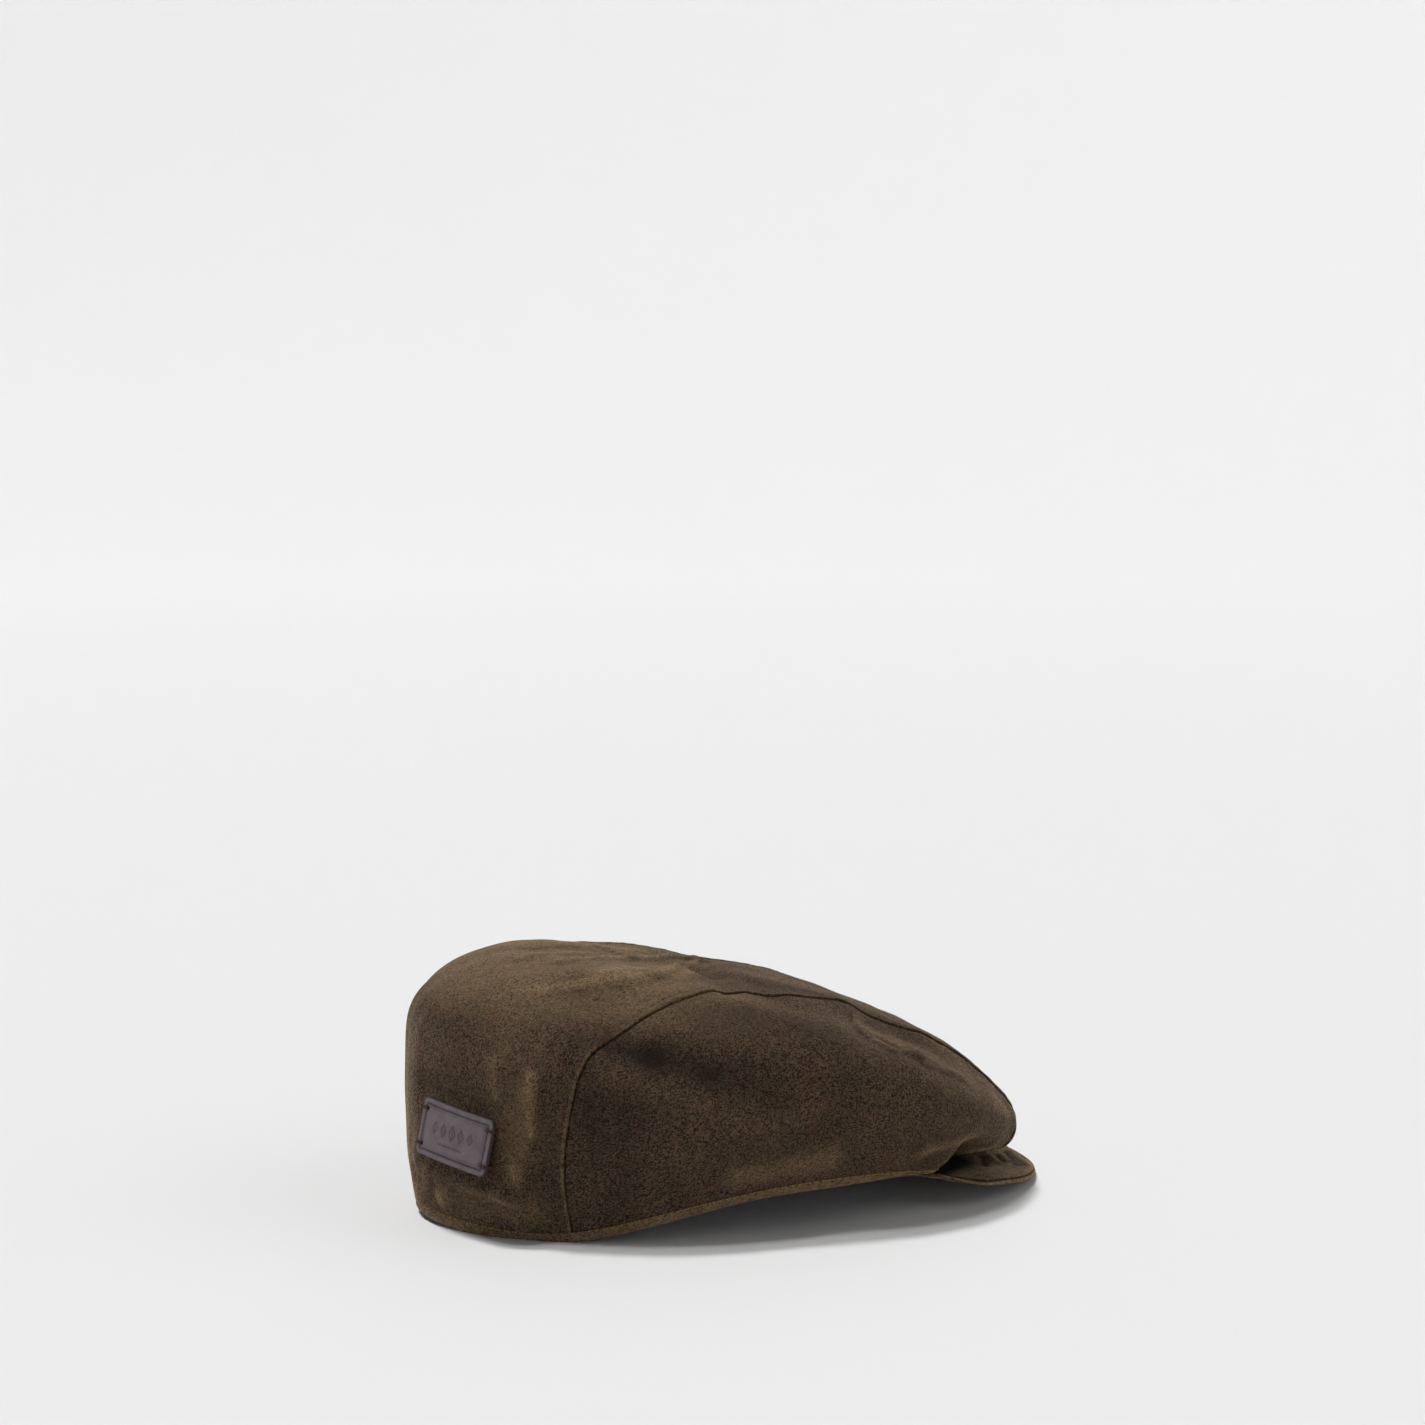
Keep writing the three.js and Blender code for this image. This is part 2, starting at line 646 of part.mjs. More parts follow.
const cap = new THREE.Group();
cap.position.x = CROWN_MIDDLE_X;
cap.add(
  part("crown_center_panel", centrePanel(), waxedCotton()),
  part("side_panel_right", sidePanel(RIGHT), waxedCotton()),
  part("side_panel_left", sidePanel(LEFT), waxedCotton()),
  part("rim_band", rimBand(), waxedCotton()),
  part("peak_top", peakCover(PEAK_COVERS.top), waxedCotton()),
  part("peak_underside", peakCover(PEAK_COVERS.underside), waxedCotton()),
  part("leather_patch", leatherPatch(), patchLeather()),
);

export default cap;
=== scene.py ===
"""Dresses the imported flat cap: waxed cotton panels lapped at their seams, a hemmed and stitched rim,
a short peak under the front and a leather patch on the back.

Sizes are in millimetres, and MM turns them into Blender's metres when a mesh is written. The frame is
the part's own: +X to the peak, +Y to the wearer's left, +Z up, and the cap lies on z = 0.

The crown is one soft surface. A heading is the angle from the forehead (0) round to an ear (90) and
the nape (180), positive toward the wearer's left. A level runs from 0 at the rim to 1 at the crest.
The chart is the crown laid out as a flat disc: heading is the angle in it, and 1 - level the distance
from its middle. Each panel is a patch of the chart.
"""

import logging
import math
from dataclasses import dataclass, field
from enum import Enum
from functools import partial
from itertools import product
from typing import Callable, NamedTuple, Optional, Sequence

import bmesh
import bpy
import numpy as np
from mathutils import Matrix, Vector

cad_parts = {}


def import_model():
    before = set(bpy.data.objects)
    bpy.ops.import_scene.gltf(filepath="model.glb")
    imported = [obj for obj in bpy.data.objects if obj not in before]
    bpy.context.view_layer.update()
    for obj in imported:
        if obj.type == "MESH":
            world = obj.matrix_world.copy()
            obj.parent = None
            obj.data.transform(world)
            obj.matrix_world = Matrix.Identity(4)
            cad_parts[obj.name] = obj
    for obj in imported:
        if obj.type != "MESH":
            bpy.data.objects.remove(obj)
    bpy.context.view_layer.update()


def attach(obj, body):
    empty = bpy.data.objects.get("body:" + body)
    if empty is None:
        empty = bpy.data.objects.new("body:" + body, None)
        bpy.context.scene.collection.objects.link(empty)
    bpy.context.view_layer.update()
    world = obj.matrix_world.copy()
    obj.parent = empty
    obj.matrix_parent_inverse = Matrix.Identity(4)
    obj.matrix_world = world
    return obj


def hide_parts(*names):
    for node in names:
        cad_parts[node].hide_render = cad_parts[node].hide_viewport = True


log = logging.getLogger("flat_cap")
Array = np.ndarray
AddNode = Callable[..., bpy.types.NodeSocket]

MM = 0.001
BODY = "root"
CLOTH_MAP = "cloth_mm"
# Values at each point that the finishes read: rubbed is worn wax and painted highlight, creased is painted
# shade in creases, hollows, recesses and seams
RUB_AND_HIGHLIGHT = "rubbed"
CREASE_SHADE = "creased"
PRESSED = "pressed"
CUT_EDGE = "cut_edge"

# Driving dimensions, as in the part's source
CLOTH_THICKNESS = 2.0
LEATHER_THICKNESS = 1.6
SIDE_DROP = 0.5
HEM_HEIGHT = 5.0
CROWN_MIDDLE = np.array([-12.5, 0.0, 0.0])

# Sewing
SEAM_ALLOWANCE = 4.0
WELT_WIDTH = 3.4
WELT_RISE = 0.35
STITCH_PITCH = 3.2
PUCKER_PITCH = 8.3
PUCKER_DRIFT = 31.0
PUCKER_WANDER = 1.7


class Side(Enum):
    """The wearer's side that a panel lies on, as the sign of its y."""

    RIGHT = -1
    LEFT = 1


class CrownSection(NamedTuple):
    """One upright section of the crown: distance out from its axis and height, at five places."""

    heading: float
    rim_out: float
    rim_up: float
    wall_out: float
    wall_up: float
    wide_out: float
    wide_up: float
    shoulder_out: float
    shoulder_up: float
    top_out: float
    top_up: float


class SeamPlace(NamedTuple):
    """A place on the seam between the centre panel and a side panel."""

    heading: float
    level: float


class Fold(NamedTuple):
    """A fold, or a hollow where rise is negative, straight between two places on the crown.

    Its rise fades over width from that line. Tone above 0 lightens its crest, up to 1, as rubbed wax and
    painted highlight; below 0 it darkens it, down to -1, as painted shade. Without rise it is only a mark.
    """

    name: str
    from_heading: float
    from_level: float
    to_heading: float
    to_level: float
    width: float
    rise: float
    tone: float = 0.0


class PeakSection(NamedTuple):
    """One radial section of the peak: its outer edge, heights of its underside, and thickness."""

    heading: float
    edge_out: float
    edge_up: float
    seat_up: float
    thick: float


SECTION_LEVELS = (0.0, 0.17, 0.36, 0.62, 0.82, 1.0)
CROWN_SECTIONS = tuple(CrownSection(*row) for row in (
    (0, 103, 14, 126, 10.5, 134, 16, 118, 45, 66, 73.5),
    (30, 97.5, 14.5, 113, 16.5, 124, 29.5, 108, 51, 59, 78),
    (60, 85.5, 16.5, 94, 29, 101, 45, 89.5, 70, 50, 83),
    (90, 74, 14.5, 82, 29.5, 88, 49, 79, 77, 46, 90),
    (120, 78.5, 7, 87, 27.5, 93, 52, 82.5, 82.5, 51, 93.5),
    (150, 93, -1.6, 102, 25.5, 107, 56, 96, 88, 58, 99.5),
    (180, 111.5, 1.5, 114.5, 23.5, 114, 60, 103.5, 89, 61.5, 102),
))

SEAM = tuple(SeamPlace(*row) for row in (
    (142, 0), (141, 0.19), (138, 0.37), (134, 0.55), (127, 0.645), (115, 0.765), (98, 0.818), (74, 0.832),
    (52, 0.829), (37, 0.815), (25, 0.768), (19, 0.7), (16.7, 0.6), (17, 0.45), (19, 0.25), (20, 0),
))

# The folds of the part's source, then finer ones that only show here
FOLDS = tuple(Fold(*row) for row in (
    ("rear shoulder ridge", -156, 0.69, -141, 0.79, 12, 1.6, 0.1),
    ("crest ridge", -141, 0.79, -110, 0.95, 9, 1.1, 0.35),
    ("hollow below the ridge", -146, 0.68, -128, 0.75, 10, -1.6),
    ("crease to the seam", 0, 0.99, -94, 0.82, 6, -2),
    ("front shoulder", -56, 0.83, -37, 0.81, 12, 2, 0.15),
    ("front seam bump", -20, 0.71, -17, 0.66, 9, 1.6, 0.2),
    ("side hollow, rear", -131, 0.57, -115, 0.51, 13, -3),
    ("side hollow, front", -100, 0.45, -78, 0.36, 15, -3),
    ("side ridge", -128, 0.46, -92, 0.31, 13, 1.5, 0.1),
    ("side ridge, upper", -93, 0.75, -83, 0.65, 13, 1.5, 0.05),
    ("front wrinkle, upper", -50, 0.72, -45, 0.66, 4, 1.3, 0.7),
    ("front wrinkle, lower", -43, 0.65, -34, 0.6, 4, 1.5, 0.6),
    ("hollow over the wrinkles", -37, 0.75, -26, 0.7, 7, -1.4),
    ("lower front hollow", -80, 0.3, -65, 0.16, 10, -1.8),
    ("fold over the peak's corner", -50, 0.2, -40, 0.27, 5, 1.6, 0.5),
    ("upright ridge behind the seam", -147, 0.41, -150, 0.2, 7, 1.8, 0.3),
    ("upright hollow behind the seam", -144, 0.4, -145, 0.2, 5, -1),
    ("upright hollow by the patch", -153, 0.4, -156, 0.14, 6, -1.2),
    ("pucker below the patch", -170, 0.12, -171, 0.08, 5, 1, 0.5),
    ("crown top ridge, left", 165, 0.78, 120, 0.9, 8, 0.6, 0.3),
    ("crown top hollow", -178, 0.86, 160, 0.97, 14, -1.8),
    ("notch at the crest", 60, 0.93, -80, 0.95, 8, -1.6),
    ("left side hollow", 126, 0.55, 82, 0.38, 15, -2.6),
    ("left side ridge", 122, 0.4, 95, 0.3, 13, 1.4, 0.1),
    ("left front hollow", 72, 0.3, 60, 0.2, 10, -1.6),
    ("left front shoulder", 56, 0.8, 40, 0.78, 12, 0.8, 0.15),
    ("left rear ridge", 150, 0.42, 152, 0.2, 8, 1.4, 0.3),
))
FINE_FOLDS = tuple(Fold(*row) for row in (
    # Tones above 0 are rubbed wax with painted highlight on the crests; below 0, painted shade
    ("far crease", -162, 0.8, 162.5, 0.93, 2.6, 1.3, 0.9),
    ("far crease to the crest", 162.5, 0.93, 64.5, 0.888, 2.4, 1.3, 1),
    ("crease near the skyline", 173.5, 0.805, 157, 0.868, 2.2, 0.9, 0.8),
    ("crease down from the skyline", 149.5, 0.89, 149, 0.927, 2, 0.9, 0.8),
    ("short crease beside it", 118.5, 0.912, 115, 0.927, 1.6, 0.5, 0.5),
    ("crease behind the ridge", -172.5, 0.772, 172, 0.88, 2.6, 0.9, 0.7),
    ("ridge's rear", -155, 0.68, -147.5, 0.723, 3.6, 0.5, 0.3),
    ("ridge's middle", -147.5, 0.723, -137.5, 0.775, 3.2, 0.7, 0.6),
    ("ridge's fore part", -137.5, 0.775, -130.5, 0.85, 3.4, 0.9, 0.9),
    ("ridge near the crest", -130.5, 0.85, -127.5, 0.93, 3, 1, 0.9),
    ("ridge over the crest", -127.5, 0.93, 62, 0.897, 2.2, 1, 0.8),
    ("hollow under the ridge", -137.5, 0.7, -126.5, 0.74, 5, -0.8),
    ("upper wrinkle, start", -40.5, 0.775, -54.5, 0.7, 2, 0.6, 0.5),
    ("upper wrinkle, crest", -54.5, 0.7, -53, 0.647, 2.2, 0.8, 0.8),
    ("upper wrinkle, end", -53, 0.647, -46.5, 0.652, 2, 0.6, 0.5),
    ("lower wrinkle, crest", -37.5, 0.688, -45.5, 0.615, 2.2, 0.8, 0.8),
    ("lower wrinkle, end", -45.5, 0.615, -37.5, 0.61, 2, 0.6, 0.6),
    ("wrinkle under the skyline", -23, 0.608, -23, 0.573, 1.8, 0.5, 0.6),
    ("swell under the seam", -101, 0.755, -93, 0.748, 5, 0.8, 0.1),
    ("pucker by the hem", -171.5, 0.11, -171, 0.083, 2.6, 0.7, 0.7),
    ("pucker under the patch's end", -172.5, 0.193, -176.5, 0.103, 3.2, 0.8, 0.5),
    ("hollow between the puckers", -171, 0.185, -174, 0.083, 2.6, -0.7),
    ("upright ridge, low", -150.5, 0.203, -150.5, 0.163, 3.4, 0.6, 0.35),
    ("upright hollow, low", -154.5, 0.163, -158, 0.077, 4, -0.6),
    ("lip of the front", -21, 0.49, -22, 0.39, 3, 0.5, 0.7),
    # Painted shade in the side's hollow under the seam
    ("side hollow's rear end", -131, 0.568, -120.5, 0.54, 7, -1, -0.6),
    ("side hollow's middle", -120.5, 0.54, -107, 0.505, 9, -1, -0.55),
    ("side hollow's fore end", -107, 0.505, -93, 0.448, 10, -0.6, -0.3),
    ("hollow along the seam", -134, 0.468, -135.5, 0.318, 5, -0.5, -0.25),
    ("upright ridge, high", -146, 0.453, -146.5, 0.29, 3.4, 0.8, 0.5),
    ("second upright ridge", -155, 0.465, -154.5, 0.357, 4, 0.5, 0.3),
    ("pucker at the nape", 178.5, 0.19, 176.5, 0.092, 3, 0.5, 0.4),
    # Painted shadow that the patch casts beside it, over a hollow
    ("hollow beside the patch", -152.5, 0.302, -154, 0.182, 3.2, -0.8, -0.35),
    ("hollow between the ridges", -149.5, 0.427, -150.5, 0.25, 3.5, -0.6, -0.25),
    ("swell over the hem", -98.5, 0.14, -73.5, 0.152, 10, 0.4, 0.4),
    ("swell over the peak's corner", -37.5, 0.365, -44, 0.328, 8, 0.4, 0.2),
    ("worn nape", -179.5, 0.505, 179.5, 0.378, 5, 0.3, 0.3),
    ("worn rear of the rim", -172, 0.1, -150, 0.08, 13, 0, 0.3),
    # Painted shade on the side panel and the front, where less light falls
    ("painted shade on the side's rear", -130, 0.4, -129, 0.15, 19, 0, -0.4),
    ("painted shade on the side's top", -108, 0.7, -72, 0.67, 18, 0, -0.4),
    ("painted shade on the front", -50, 0.62, -34, 0.5, 14, 0, -0.2),
    ("painted shade on the centre's front", -60, 0.88, -25, 0.76, 16, 0, -0.4),
    # Painted highlight on the lip, with some wear
    ("painted highlight on the worn lip", -16, 0.46, -15, 0.2, 9, 0, 0.9),
    ("worn crest", -124, 0.9, -112, 0.965, 8, 0.5, 0.6),
    ("worn crest ridge", -137, 0.79, -124, 0.93, 16, 0, 0.45),
    ("worn back", -152, 0.55, -150, 0.3, 24, 0, 0.2),
    # Painted shade in the recess over the peak
    ("recess over the peak", -36, 0.08, -18, 0.06, 14, 0, -1.5),
))

PEAK_SECTIONS = tuple(PeakSection(*row) for row in (
    (0, 142.5, -0.2, 8, 4),
    (8, 142.5, -0.2, 8, 4),
    (16, 138.5, 1.4, 8.2, 4),
    (25, 130.5, 4.4, 9.2, 3.7),
    (32, 121.5, 7.2, 10.8, 3.2),
    (36, 111, 9.8, 12, 2.6),
    (37.5, 101, 12.4, 12.6, 1.8),
))


def smoothstep(value: Array, low: float, high: float) -> Array:
    """Rises from 0 at low to 1 at high along 3t^2 - 2t^3."""
    t = np.clip((value - low) / (high - low), 0.0, 1.0)
    return t * t * (3.0 - 2.0 * t)


def bell(distance: Array, width: float) -> Array:
    """A Gaussian bump: 1 at distance 0, and 1/e at width."""
    return np.exp(-((distance / width) ** 2))


def unit(vectors: Array) -> Array:
    """The vectors along the last axis, each divided by its length."""
    return vectors / np.maximum(np.linalg.norm(vectors, axis=-1, keepdims=True), 1e-12)


def lerp(start: Array, end: Array, share: Array) -> Array:
    """The place that lies a share of the way from start to end."""
    return start + (end - start) * share


def length_along(points: Array, axis: int) -> Array:
    """Distance travelled along one axis of a grid of points, from 0 at its start.

    Args:
        points: A grid of points, whose last axis holds x, y and z.
        axis: The axis of the grid to travel along.

    Returns:
        The distances, in the grid's shape without its last axis.
    """
    steps = np.linalg.norm(np.diff(points, axis=axis), axis=-1)
    start = np.zeros_like(np.take(steps, [0], axis=axis))
    return np.concatenate([start, np.cumsum(steps, axis=axis)], axis=axis)


class CubicCurve:
    """A cubic curve through values at knots, smooth to its second derivative.

    Each stretch is the Hermite cubic of its end values and end slopes. The slopes solve one linear
    equation for each knot: inside, the second derivative is the same on both sides of the knot, and
    an end either has the slope that it is given or runs out straight. The values may be an array
    whose last axis goes along the knots, and every row of it is then a curve of its own.
    """

    def __init__(
        self,
        knots: Sequence[float],
        values: Array,
        start_slope: Optional[Array] = None,
        end_slope: Optional[Array] = None,
    ) -> None:
        """Solves for the slopes.

        Args:
            knots: Places along the curve, rising.
            values: The value at each knot.
            start_slope: The slope at the first knot, or None to run out straight.
            end_slope: The slope at the last knot, or None to run out straight.
        """
        self.knots = np.asarray(knots, float)
        self.values = np.asarray(values, float)
        count = len(self.knots)
        inverse_step = 1.0 / np.diff(self.knots)
        chord = np.diff(self.values, axis=-1) * inverse_step
        inside = np.arange(1, count - 1)
        matrix = np.zeros((count, count))
        matrix[inside, inside - 1] = inverse_step[:-1]
        matrix[inside, inside + 1] = inverse_step[1:]
        matrix[inside, inside] = 2.0 * (inverse_step[:-1] + inverse_step[1:])
        target = np.zeros_like(self.values)
        target[..., 1:-1] = 3.0 * (chord[..., :-1] * inverse_step[:-1] + chord[..., 1:] * inverse_step[1:])
        for end, inner, slope in ((0, 1, start_slope), (-1, -2, end_slope)):
            matrix[end, end] = 2.0 if slope is None else 1.0
            matrix[end, inner] = 1.0 if slope is None else 0.0
            target[..., end] = 3.0 * chord[..., end] if slope is None else slope
        self.slopes = target @ np.linalg.inv(matrix).T

    def at(self, place: Array) -> Array:
        """The curve's value.

        Args:
            place: Places along the knots, in the shape of the values without their last axis.

        Returns:
            The values there, in the shape of place.
        """
        place = np.asarray(place, float)
        stretch = np.clip(np.searchsorted(self.knots, place, side="left") - 1, 0, len(self.knots) - 2)
        step = self.knots[stretch + 1] - self.knots[stretch]
        t = (place - self.knots[stretch]) / step

        def pick(table: Array, index: Array) -> Array:
            """The table's entry at index, from the one curve or from each row's own."""
            if table.ndim == 1:
                return table[index]
            return np.take_along_axis(table, index[..., None], axis=-1)[..., 0]

        return (
            (1 - t) ** 2 * (1 + 2 * t) * pick(self.values, stretch)
            + t**2 * (3 - 2 * t) * pick(self.values, stretch + 1)
            + t * (1 - t) ** 2 * step * pick(self.slopes, stretch)
            - t**2 * (1 - t) * step * pick(self.slopes, stretch + 1)
        )


def fold_marks(
    skin: Array, folds: Sequence[Fold], ends: Array, crest: float, foot_shade: float = 0.0
) -> tuple[Array, Array, Array]:
    """What folds do to a surface.

    Each adds its rise times a Gaussian of the distance from the straight line between its ends. Its
    tone lightens its crest as rubbed wax and painted highlight, or paints shade into its hollow.

    Args:
        skin: Points of the surface without its folds.
        folds: The folds.
        ends: The two ends of each on the surface.
        crest: The width of the rubbed crest, as a share of the fold's.
        foot_shade: How much wax gathers at both feet of a rubbed crest.

    Returns:
        The rise, the rubbed share and the creased share of each point.
    """
    rise, rubbed, creased = np.zeros((3, *skin.shape[:-1]))
    for fold, (start, end) in zip(folds, ends):
        line = end - start
        share = np.clip((skin - start) @ line / (line @ line), 0.0, 1.0)
        away = np.linalg.norm(skin - start - share[..., None] * line, axis=-1) / fold.width
        worn, waxed = max(fold.tone, 0.0), max(-fold.tone, 0.0)
        rise += fold.rise * bell(away, 1)
        rubbed += worn * bell(away, crest)
        creased += waxed * bell(away, 0.8) + foot_shade * worn * bell(away - 1.2, 0.5)
    return rise, rubbed, creased


def chart_at(heading: Array, level: Array) -> Array:
    """The chart place of a heading and a level: heading as an angle, 1 - level as the radius."""
    angle = np.radians(heading)
    return np.stack([np.cos(angle), np.sin(angle)], axis=-1) * (1.0 - np.asarray(level, float))[..., None]


def heading_of(chart: Array) -> Array:
    """The heading of a chart place, in degrees."""
    return np.degrees(np.arctan2(chart[..., 1], chart[..., 0]))


class Cloth(NamedTuple):
    """The crown's surface worked out at an array of chart places."""

    skin: Array
    normal: Array
    rise: Array
    # rubbed holds worn wax and painted highlight, creased holds painted shade
    rubbed: Array
    creased: Array

    def lifted(self, lift: Array) -> Array:
        """Points that stand lift off the folded surface, and no lower than what the cap lies on.

        Args:
            lift: The distance off the surface, outward, of each place.

        Returns:
            The points.
        """
        points = self.skin + self.normal * (self.rise + lift)[..., None]
        points[..., 2] = np.maximum(points[..., 2], 0.0)
        return points


@dataclass
class PatchSeat:
    """Where the stiff leather patch sits on the back of the crown, and how the cloth lies behind it.

    The patch bends only about its upright middle line: x across from it, it lies x^2 / 2r back. Its
    place is the middle of its back, facing and lean are the heading that it faces and how far its
    top leans in, and tilt how far its right end droops, in degrees.
    """

    middle: tuple[float, float, float] = (-108.2, -29.7, 39.2)
    facing: float = -157.3
    lean: float = 11.0
    tilt: float = 4.5
    width: float = 40.0
    height: float = 22.0
    bend_radius: float = 140.0
    clearance: float = 0.5
    held: float = 2.0
    free: float = 12.0
    pull: float = 0.75

    def __post_init__(self) -> None:
        """Works out the patch's three directions."""
        facing, lean, tilt = np.radians([self.facing, self.lean, -self.tilt])
        level = np.array([math.cos(facing), math.sin(facing), 0.0])
        self.normal = level * math.cos(lean) + np.array([0.0, 0.0, math.sin(lean)])
        level_across = unit(np.cross([0.0, 0.0, 1.0], self.normal))
        level_up = np.cross(self.normal, level_across)
        self.across = level_across * math.cos(tilt) + level_up * math.sin(tilt)
        self.upward = np.cross(self.normal, self.across)

    def place(self, x: Array, y: Array, lift: Array) -> Array:
        """Points of the patch, x across and y up from its middle, and lift off its back."""
        out = lift - x**2 / (2 * self.bend_radius)
        ways = ((x, self.across), (y, self.upward), (out, self.normal))
        return np.array(self.middle) + sum(part[..., None] * way for part, way in ways)

    def drawn(self, skin: Array, normal: Array, rise: Array) -> Array:
        """The cloth's rise once it is drawn to the patch's back.

        Where it would stand through the patch it is moved all the way, and where it hangs clear, a
        set part of the way. Round the patch that fades out.

        Args:
            skin: Points of the crown without its folds.
            normal: Its outward directions there.
            rise: How far its folds lift it.

        Returns:
            The new rise.
        """
        offset = skin - np.array(self.middle)
        x, y, out = offset @ self.across, offset @ self.upward, offset @ self.normal
        outside = np.hypot(
            np.maximum(np.abs(x) - self.width / 2, 0), np.maximum(np.abs(y) - self.height / 2, 0)
        )
        toward = normal @ self.normal
        hold = (1 - smoothstep(outside, self.held, self.free)) * smoothstep(toward, 0.3, 0.6)
        height = out + x**2 / (2 * self.bend_radius)
        reach = (-self.clearance - height) / np.maximum(toward, 0.3) - rise
        return rise + hold * np.where(reach > 0, self.pull * reach, reach)


@dataclass(frozen=True)
class CornerTuck:
    """How the wall over each corner of the peak bulges, then turns in sharply under the overhang.

    Headings are in degrees either way from the forehead, and levels up from the rim.
    """

    depth: float = 11.0
    corner: tuple[float, float] = (33.0, 40.0)
    front: tuple[float, float] = (10.0, 22.0)
    roof: tuple[float, float] = (0.17, 0.25)
    roof_raise: float = 6.0
    roof_heading: tuple[float, float] = (39.0, 7.5)
    roof_level: tuple[float, float] = (0.2, 0.08)
    bulge: float = 5.0
    bulge_heading: float = 42.5
    bulge_width: float = 4.5
    bulge_top: tuple[float, float] = (0.12, 0.3)

    def moved(self, heading: Array, level: Array) -> tuple[Array, Array]:
        """How far the tuck moves the skin out and up.

        Args:
            heading: Headings without their sign.
            level: Levels.

        Returns:
            The distances out and up.
        """
        window = (1 - smoothstep(heading, *self.corner)) * smoothstep(heading, *self.front)
        inward = self.depth * window * (1 - smoothstep(level, *self.roof))
        outward = self.bulge * bell(heading - self.bulge_heading, self.bulge_width)
        out = outward * (1 - smoothstep(level, *self.bulge_top)) - inward
        near = bell(heading - self.roof_heading[0], self.roof_heading[1])
        return out, self.roof_raise * near * bell(level - self.roof_level[0], self.roof_level[1])


@dataclass
class Crown:
    """The soft form that every panel, the band and the patch are cut from."""

    sections: Sequence[CrownSection] = CROWN_SECTIONS
    folds: Sequence[Fold] = FOLDS + FINE_FOLDS
    crest_height: float = 91.5
    crest_slope: float = 0.11
    held_level: float = 0.06
    free_level: float = 0.16
    chart_step: float = 0.002
    wave_count: int = 16
    wave_seed: int = 11
    wave_rise: float = 0.22
    wave_lengths: tuple[float, float] = (14.0, 46.0)
    # Painted highlight on the rear of the top, where it faces up
    top_highlight: float = 0.6
    # Painted shade at the feet of each rubbed crest
    foot_shade: float = 0.32
    seat: PatchSeat = field(default_factory=PatchSeat)
    tuck: CornerTuck = CornerTuck()
    out_curves: list[CubicCurve] = field(init=False)
    up_curves: list[CubicCurve] = field(init=False)
    fold_ends: Array = field(init=False)

    def __post_init__(self) -> None:
        """Makes the curves round the head, and finds the ends of the folds on the surface."""
        headings = [section.heading for section in self.sections]
        rows = np.array(self.sections, float)
        self.out_curves = [CubicCurve(headings, rows[:, k], 0.0, 0.0) for k in range(1, 11, 2)]
        self.up_curves = [CubicCurve(headings, rows[:, k], 0.0, 0.0) for k in range(2, 11, 2)]
        ends = np.array([[fold[1:3], fold[3:5]] for fold in self.folds], float)
        self.fold_ends = self.skin(chart_at(ends[..., 0], ends[..., 1]))

    def skin(self, chart: Array) -> Array:
        """The crown's outer surface without its folds.

        Round the head, each place of a section is a cubic curve of its heading. Up a section, the
        distance out and the height are cubic curves of the level, which end at the crest with the
        crest's slope.

        Args:
            chart: Chart places, x and y along the last axis.

        Returns:
            The points of the surface.
        """
        angle = np.arctan2(chart[..., 1], chart[..., 0])
        heading = np.degrees(np.abs(angle))
        outs = np.stack([curve.at(heading) for curve in self.out_curves], axis=-1)
        ups = np.stack([curve.at(heading) for curve in self.up_curves], axis=-1)
        crest_speed = outs[..., -1] / (SECTION_LEVELS[-1] - SECTION_LEVELS[-2])
        crest_climb = self.crest_slope * np.cos(angle) * crest_speed
        level = 1.0 - np.hypot(chart[..., 0], chart[..., 1])
        pole = np.ones_like(outs[..., :1])
        out = CubicCurve(SECTION_LEVELS, np.concatenate([outs, 0 * pole], -1), None, -crest_speed)
        up = CubicCurve(
            SECTION_LEVELS, np.concatenate([ups, self.crest_height * pole], -1), None, crest_climb
        )
        tuck_out, tuck_up = self.tuck.moved(heading, level)
        reach = out.at(level) + tuck_out
        return np.stack([reach * np.cos(angle), reach * np.sin(angle), up.at(level) + tuck_up], axis=-1)

    def slopes(self, chart: Array) -> tuple[Array, Array]:
        """How the skin moves for a unit step along the chart's x, and along its y."""
        steps = np.eye(2) * self.chart_step
        ways = [self.skin(chart + step) - self.skin(chart - step) for step in steps]
        return ways[0] / (2 * self.chart_step), ways[1] / (2 * self.chart_step)

    def normal(self, chart: Array) -> Array:
        """The skin's outward direction: the cross product of its two slopes."""
        return unit(np.cross(*self.slopes(chart)))

    def waves(self, points: Array) -> Array:
        """Slight unevenness of stiff cloth: a mean of cosines of the place along set directions."""
        rng = np.random.default_rng(self.wave_seed)
        directions = unit(rng.normal(size=(self.wave_count, 3)))
        lengths = rng.uniform(*self.wave_lengths, self.wave_count)
        phases = rng.uniform(0, 2 * np.pi, self.wave_count)
        turns = 2 * np.pi * (points @ directions.T) / lengths + phases
        return self.wave_rise * np.cos(turns).sum(-1) / math.sqrt(self.wave_count / 2)

    def cloth(self, chart: Array) -> Cloth:
        """The folded surface.

        All folds die away toward the band, which is stitched flat. The wax is rubbed off along them, with
        painted highlight on their crests and painted shade in their hollows, and highlight is painted where
        the crown's rear faces up.

        Args:
            chart: Chart places.

        Returns:
            The surface there.
        """
        skin = self.skin(chart)
        level = 1.0 - np.hypot(chart[..., 0], chart[..., 1])
        freedom = smoothstep(level, self.held_level, self.free_level)
        normal = self.normal(chart)
        rise, rubbed, creased = fold_marks(skin, self.folds, self.fold_ends, 0.5, self.foot_shade)
        rise += self.waves(skin)
        # Painted highlight where the crown's rear faces up
        rubbed += self.top_highlight * smoothstep(normal[..., 2], 0.55, 1.0) * smoothstep(-skin[..., 0], -20, 25)
        rise = self.seat.drawn(skin, normal, freedom * rise)
        return Cloth(skin, normal, rise, np.clip(rubbed, 0, 1), np.clip(creased, 0, 1))

    def levels_per_mm(self, heading: Array) -> Array:
        """How much the level rises for a millimetre up from the rim."""
        step = 0.03
        start, end = (self.skin(chart_at(heading, 0 * heading + level)) for level in (0, step))
        return step / np.linalg.norm(end - start, axis=-1)


